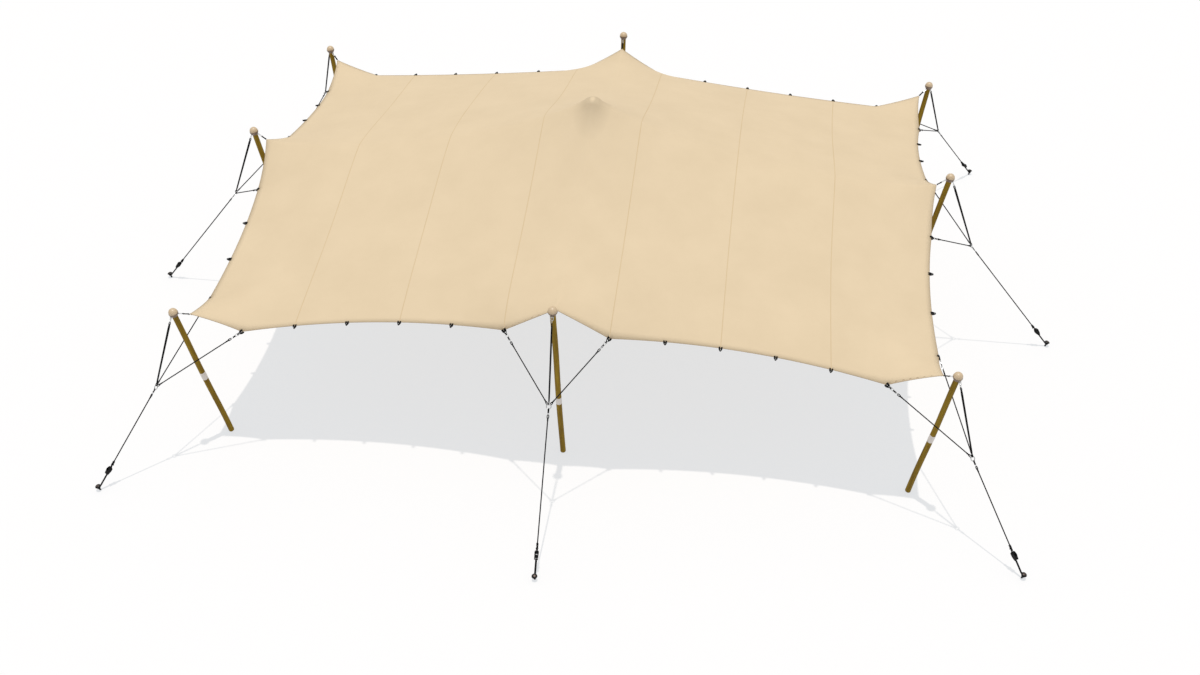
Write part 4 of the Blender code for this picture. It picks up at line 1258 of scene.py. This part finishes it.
# %% Black coated pressed steel
coated_steel, tree, shader = new_material("black coated pressed steel", Specular_IOR_Level=0.2)
shape = add_node(tree, "ShaderNodeNewGeometry")
place = add_node(tree, "ShaderNodeTexCoord")
chips = add_node(tree, "ShaderNodeTexNoise", {"Vector": place.outputs["Object"], "Scale": 220.0,
                                              "Detail": 3.0})
edges = add_node(tree, "ShaderNodeMapRange", {"Value": shape.outputs["Pointiness"],
                                              "From Min": 0.53, "From Max": 0.62})
worn = add_node(tree, "ShaderNodeMath", {0: edges.outputs["Result"], 1: chips.outputs["Fac"]},
                operation="MULTIPLY")
shade = add_node(tree, "ShaderNodeValToRGB", {"Fac": worn.outputs[0]},
                 stops=((0.4, "070708"), (0.9, "33312F")))
gloss = add_node(tree, "ShaderNodeMapRange", {"Value": chips.outputs["Fac"], "To Min": 0.4, "To Max": 0.65})
tree.links.new(shade.outputs["Color"], shader.inputs["Base Color"])
tree.links.new(gloss.outputs["Result"], shader.inputs["Roughness"])
tree.links.new(worn.outputs[0], shader.inputs["Metallic"])
print("coat worn on edges")

# %% [markdown]
# ## Ratchets
# A ratchet winds up the webbing and holds it: a slotted spool turns in a U frame, two toothed
# wheels sit on its ends, and a pawl keeps them from turning back. Pressed plates are easiest as
# outlines that are cut out and given a depth. The frame's outline is a half circle round the spool
# and a tongue towards the peg. The wheel's is a ring of saw teeth, each with a tip and a root.

# %% Outlines of the pressed plates
BOLT_AT = 0.064
WHEEL_TEETH = 16
WHEEL_RADIUS = 0.0270
WHEEL_ROOT = 0.78
SIDE_ON = Matrix(((1, 0, 0, 0), (0, 0, -1, 0), (0, 1, 0, 0), (0, 0, 0, 1)))

turns = [math.pi / 2 + math.pi * k / 8 for k in range(9)]
frame_outline = [(0.017 * math.cos(t), 0.015 * math.sin(t)) for t in turns]
frame_outline += [(0.036, -0.0145), (0.060, -0.0135), (0.069, -0.010), (0.073, -0.003), (0.073, 0.003),
                  (0.069, 0.010), (0.060, 0.0135), (0.036, 0.0145)]
wheel_outline = []
for k in range(WHEEL_TEETH):
    angle = 2 * math.pi * k / WHEEL_TEETH
    for radius, turned in ((WHEEL_RADIUS, angle), (WHEEL_ROOT * WHEEL_RADIUS, angle + 0.06)):
        wheel_outline.append((radius * math.cos(turned), radius * math.sin(turned)))
print("frame plate:", len(frame_outline), "corners, wheel:", len(wheel_outline))

# %% [markdown]
# ## Frame, spool and hook
# All of this stays still. The two side plates are held apart by the spool, the bolt and a bent
# floor plate. A double hook of thick wire takes the rope's loop. It could be two straight pins, but
# only a bent hook shows how the rope is held.

# %% Frame, spool and hook
FRAME_PLATE = 0.003
FRAME_MIDDLE = 0.0155
WHEEL_PLATE = 0.0028
WHEEL_MIDDLE = 0.0192
CAP_MIDDLE = 0.0275
CAP = ((0.0, -0.0015), (0.012, -0.0015), (0.012, 0.0008), (0.010, 0.0018), (0.0, 0.0018))
BOLT_HEAD_MIDDLE = 0.0188
BOLT_HEAD = ((0.0, -0.0022), (0.0075, -0.0022), (0.0075, 0.0016), (0.006, 0.0024), (0.0, 0.0024))
HOOK_BAR = -0.046
HOOK_WIRE = 0.0056
HOOK_BEND = -0.066


def on_line(line, *places):
    """Points of the scene, from places in the frame of a rig's taut line."""
    return [line @ Vector(place) for place in places]


for place_name, rig in rigs.items():
    line, across = rig["line"], rig["across"]
    black, side_on = bmesh.new(), line @ SIDE_ON
    for side in (-1, 1):
        plate(black, side_on @ Matrix.Translation((0, 0, side * FRAME_MIDDLE)), frame_outline, FRAME_PLATE)
        plate(black, side_on @ Matrix.Translation((0, 0, side * WHEEL_MIDDLE)), wheel_outline, WHEEL_PLATE)
        turn(black, side_on @ Matrix.Translation((0, 0, side * CAP_MIDDLE)), CAP, 20)
        head = side_on @ Matrix.Translation((BOLT_AT, 0, side * BOLT_HEAD_MIDDLE))
        turn(black, head, BOLT_HEAD, 6)
    for at, half, radius, sides in ((0.0, 0.028, 0.008, 16), (BOLT_AT, 0.019, 0.004, 12),
                                    (HOOK_BAR, 0.016, HOOK_WIRE, 10)):
        sweep(black, on_line(line, (at, -half, 0), (at, half, 0)), round_section(radius, sides), rig["down"])
    sweep(black, on_line(line, (0.030, 0, -0.0125), (0.058, 0, -0.0118)), flat_section(0.029, 0.0022), across)
    sweep(black, on_line(line, (0.030, 0, 0.006), (0.042, 0, 0.0115), (0.046, 0, 0.016)),
          flat_section(0.026, 0.0022), across)
    for side in (-1, 1):
        bend = [(HOOK_BEND + 0.010 * math.cos(t), side * 0.0080, -0.008 + 0.010 * math.sin(t))
                for t in np.linspace(math.radians(60), math.radians(300), 12)]
        prong = on_line(line, (HOOK_BAR, side * 0.0145, 0), (-0.054, side * 0.0120, 0), *bend)
        sweep(black, prong, round_section(HOOK_WIRE, 10), across)
    put("ratchet_" + place_name, black, coated_steel, bevel=0.0005)
print("bolt:", BOLT_AT * 1000, "mm below the spool")

# %% [markdown]
# ## Webbing at the ratchet
# One long strip goes round the hook's bar and spirals in on the spool. Seen from the side it is a
# single line, so its path is worked out once, in the plane across the spool. A short bound tie goes
# from the bolt to the peg, and a sleeve of webbing holds it there. With that, all soft pieces and
# fittings of a rig are complete, and each kind becomes one mesh.

# %% Wound webbing and tie
WEBBING_WIDTH = 0.025
WEBBING_DEPTH = 0.0022
ROLL_OUTER = 0.0235
ROLL_INNER = 0.0095
ROLL_TURNS = 5.5
ROLL_STEPS = 28
PEG_RADIUS = 0.013
PEG_TIE = 0.042
TIE_WIDE = (0.0140, 0.0135)
TIE_DEEP = (0.0105, 0.0105)
TIE_SINK = 0.003
TIE_BAND = 0.054
TIE_HALF = 0.014

round_bar = HOOK_WIRE + 0.0014
wound = [(-0.030, 0, 0.0012), (HOOK_BAR + 0.009, 0, 0.0020)]
wound += [(HOOK_BAR + round_bar * math.sin(t), 0, -round_bar * math.cos(t))
          for t in np.linspace(math.pi, 2 * math.pi, 7)]
wound += [(HOOK_BAR + 0.010, 0, -0.0066), (-0.012, 0, -0.0222)]
for k in range(int(ROLL_TURNS * ROLL_STEPS) + 1):
    share = k / (ROLL_TURNS * ROLL_STEPS)
    radius = ROLL_OUTER + (ROLL_INNER - ROLL_OUTER) * share
    angle = math.pi * 1.5 - 2 * math.pi * ROLL_TURNS * share
    wound.append((radius * math.cos(angle), 0, radius * math.sin(angle)))
inner, outer = PEG_RADIUS + 0.0006, PEG_RADIUS + 0.0120
tie_band = [(inner, -TIE_HALF), (outer - 0.006, -TIE_HALF), (outer - 0.002, -TIE_HALF + 0.003),
            (outer, -TIE_HALF + 0.008), (outer, TIE_HALF - 0.008), (outer - 0.002, TIE_HALF - 0.003),
            (outer - 0.006, TIE_HALF), (inner, TIE_HALF)]

for place_name, rig in rigs.items():
    line, across, webbing = rig["line"], rig["across"], rig["webbing"]
    sweep(webbing, on_line(line, *wound), flat_section(WEBBING_WIDTH, WEBBING_DEPTH), across)
    bolt, tie = line @ Vector((BOLT_AT + 0.004, 0, 0)), rig["stake"] @ Vector((0.0, 0.0, PEG_TIE))
    end, sink = tie - rig["down"] * (PEG_RADIUS + 0.014), line.to_3x3().col[2] * TIE_SINK
    sling(webbing, bolt - sink, end - sink, across, TIE_WIDE, TIE_DEEP, eye=0.022, wire=0.0045)
    turn(webbing, rig["stake"] @ Matrix.Translation((0, 0, TIE_BAND)), tie_band, 24, loop=True)
    put("straps_" + place_name, webbing, woven_polyester, nodes=["guy_" + place_name])
    put("fittings_" + place_name, rig["steel"], galvanised_steel)
    put("ropes_" + place_name, rig["cord"], braided_polyester)
put("tabs", bm_tabs, woven_polyester)
put("eyelets", bm_eyelets, galvanised_steel)
print("webbing wound", ROLL_TURNS, "turns on each spool")

# %% [markdown]
# ## Levers
# The lever is the part that a hand works: two cheeks that turn on the spool, a web that joins
# them, a ribbed grip at the end, and the sliding pawl with its spring. A cheek's outline could be
# drawn with many points. Here it is a short list of corners with a smooth curve through them.

# %% Lever outline
BOSS = 0.026
LEVER_EDGE = ((0.028, -0.025), (0.060, -0.018), (0.086, -0.009), (0.099, 0.001), (0.102, 0.012),
              (0.097, 0.022), (0.086, 0.0275), (0.064, 0.030), (0.042, 0.033), (0.018, 0.0355))


def rounded(corners, steps=4):
    """A smooth closed line through a few corners."""
    points, count = np.array(corners), len(corners)
    line = []
    for k in range(count):
        a, b, c, d = points[k - 1], points[k], points[(k + 1) % count], points[(k + 2) % count]
        for step in range(steps):
            t = step / steps
            line.append(0.5 * (2 * b + (c - a) * t + (2 * a - 5 * b + 4 * c - d) * t ** 2
                               + (3 * b - a - 3 * c + d) * t ** 3))
    return [tuple(point) for point in line]


boss = [(BOSS * math.cos(a), BOSS * math.sin(a)) for a in np.radians(np.linspace(105, 255, 5))]
cheek = rounded(boss + list(LEVER_EDGE))
print("cheek:", len(cheek), "points from", len(boss) + len(LEVER_EDGE), "corners")

# %% [markdown]
# ## Levers on their spools
# A lever is made in a frame of its own, with the origin on the spool, and placed by that frame. It
# could be made in place as the ratchet is, but this way it swings about the spool as the real one
# does. It rides on its own body. The spring is a thin coil with the same black coat as the rest.

# %% Lever parts
LEVER_MIDDLE = 0.0235
LEVER_PLATE = 0.003
GRIP_AT = (0.086, 0.0170)
GRIP_HALF = 0.0215
GRIP_RADIUS = 0.0085
GRIP_RIVET = ((0.0, -0.002), (0.0055, -0.002), (0.0055, 0.001), (0.004, 0.002), (0.0, 0.002))
WEB = ((0.040, 0, 0.0312), (0.048, 0, 0.0306), (0.056, 0, 0.0296), (0.064, 0, 0.0286), (0.072, 0, 0.0276))
PAWL = ((0.044, 0, 0.0235), (0.060, 0, 0.0235))
PAWL_TONGUE = ((0.059, 0, 0.023), (0.066, 0, 0.018))
COIL_START = 0.036
COIL_LENGTH = 0.010
COIL_RADIUS = 0.0030
COIL_HEIGHT = 0.0250
COIL_TURN = 38

across = Vector((0, 1, 0))
grip = [Vector((GRIP_AT[0], y, GRIP_AT[1])) for y in np.linspace(-GRIP_HALF, GRIP_HALF, 15)]
coil = [Vector((COIL_START + COIL_LENGTH * share, COIL_RADIUS * math.cos(COIL_TURN * share),
                COIL_HEIGHT + COIL_RADIUS * math.sin(COIL_TURN * share))) for share in np.linspace(0, 1, 65)]
for place_name, rig in rigs.items():
    black = bmesh.new()
    for side in (-1, 1):
        plate(black, SIDE_ON @ Matrix.Translation((0, 0, side * LEVER_MIDDLE)), cheek, LEVER_PLATE)
        rivet = SIDE_ON @ Matrix.Translation((*GRIP_AT, side * (LEVER_MIDDLE + 0.0028)))
        turn(black, rivet, GRIP_RIVET, 14)
    for path, width, depth in ((WEB, 2 * LEVER_MIDDLE, 0.0026), (PAWL, 2 * LEVER_MIDDLE, 0.006),
                               (PAWL_TONGUE, 0.028, 0.004)):
        sweep(black, [Vector(point) for point in path], flat_section(width, depth), across)
    sweep(black, grip, round_section(GRIP_RADIUS, 18), Vector((1, 0, 0)),
          growth=[0.9] + [1.0, 0.95] * 6 + [1.0, 0.9])
    sweep(black, coil, round_section(0.0009, 5), across)
    put("handle_" + place_name, black, coated_steel, body="lever_" + place_name,
        nodes=["ratchet_lever_" + place_name], place=rig["line"], bevel=0.0005)
print("levers:", len(rigs))

# %% [markdown]
# ## Pegs
# A peg is a bar of forged steel with a wide domed head, driven in at a slant so that the pull
# can't draw it out. The hammer keeps the head brown and bright in places, and the shaft is dark
# with scale. Only what stands above the ground is made. A turned profile does it, in a frame that
# leans with the peg. A boolean could cut it off at the ground, but one plane is simpler to cut by.

# %% Forged steel pegs
FORGED_LUMP = 0.009
DARK_BELOW = 0.0905

forged_steel, tree, shader = new_material("forged steel", Metallic=0.55)
place = add_node(tree, "ShaderNodeTexCoord")
lumps = add_node(tree, "ShaderNodeTexNoise", {"Vector": place.outputs["Object"], "Scale": 1 / FORGED_LUMP,
                                              "Detail": 5.0, "Roughness": 0.6})
parts = add_node(tree, "ShaderNodeSeparateXYZ", {0: place.outputs["Object"]})
height = add_node(tree, "ShaderNodeMapRange", {"Value": parts.outputs["Z"], "From Min": DARK_BELOW,
                                               "From Max": DARK_BELOW + 0.009, "To Min": -0.8, "To Max": 0.0})
tone = add_node(tree, "ShaderNodeMath", {0: lumps.outputs["Fac"], 1: height.outputs["Result"]},
                operation="ADD")
shade = add_node(tree, "ShaderNodeValToRGB", {"Fac": tone.outputs[0]},
                 stops=((0.0, "080707"), (0.3, "3A312D"), (0.5, "544841"), (0.75, "70625A")))
gloss = add_node(tree, "ShaderNodeMapRange", {"Value": lumps.outputs["Fac"], "To Min": 0.3, "To Max": 0.6})
bump = add_node(tree, "ShaderNodeBump", {"Strength": 0.4, "Distance": 0.001, "Height": lumps.outputs["Fac"]})
tree.links.new(shade.outputs["Color"], shader.inputs["Base Color"])
tree.links.new(gloss.outputs["Result"], shader.inputs["Roughness"])
tree.links.new(bump.outputs["Normal"], shader.inputs["Normal"])

PEG_HEAD = ((0.0, 0.1000), (0.006, 0.0998), (0.012, 0.0991), (0.018, 0.0978), (0.024, 0.0952),
            (0.030, 0.0912), (0.0362, 0.0868), (0.0392, 0.0832), (0.0395, 0.0808), (0.0385, 0.0788),
            (0.0335, 0.0776), (0.024, 0.0764), (0.017, 0.0750), (0.0135, 0.0725))
PEG_SHAFT = ((PEG_RADIUS, 0.069), (PEG_RADIUS, -0.026), (0.0, -0.026))
for place_name, rig in rigs.items():
    bm = bmesh.new()
    turn(bm, Matrix.Identity(4), PEG_HEAD + PEG_SHAFT, 32)
    bmesh.ops.remove_doubles(bm, verts=bm.verts, dist=SAME_POINT)
    ground = rig["stake"].inverted()
    cut = bmesh.ops.bisect_plane(bm, geom=bm.verts[:] + bm.edges[:] + bm.faces[:], dist=0.0,
                                 plane_co=ground.translation, plane_no=-(ground.to_3x3() @ UP),
                                 clear_outer=True)
    rim = [item for item in cut["geom_cut"] if isinstance(item, bmesh.types.BMEdge)]
    bmesh.ops.contextual_create(bm, geom=rim)
    put("ground_peg_" + place_name, bm, forged_steel, nodes=["peg_" + place_name], place=rig["stake"])
print("pegs:", len(rigs))
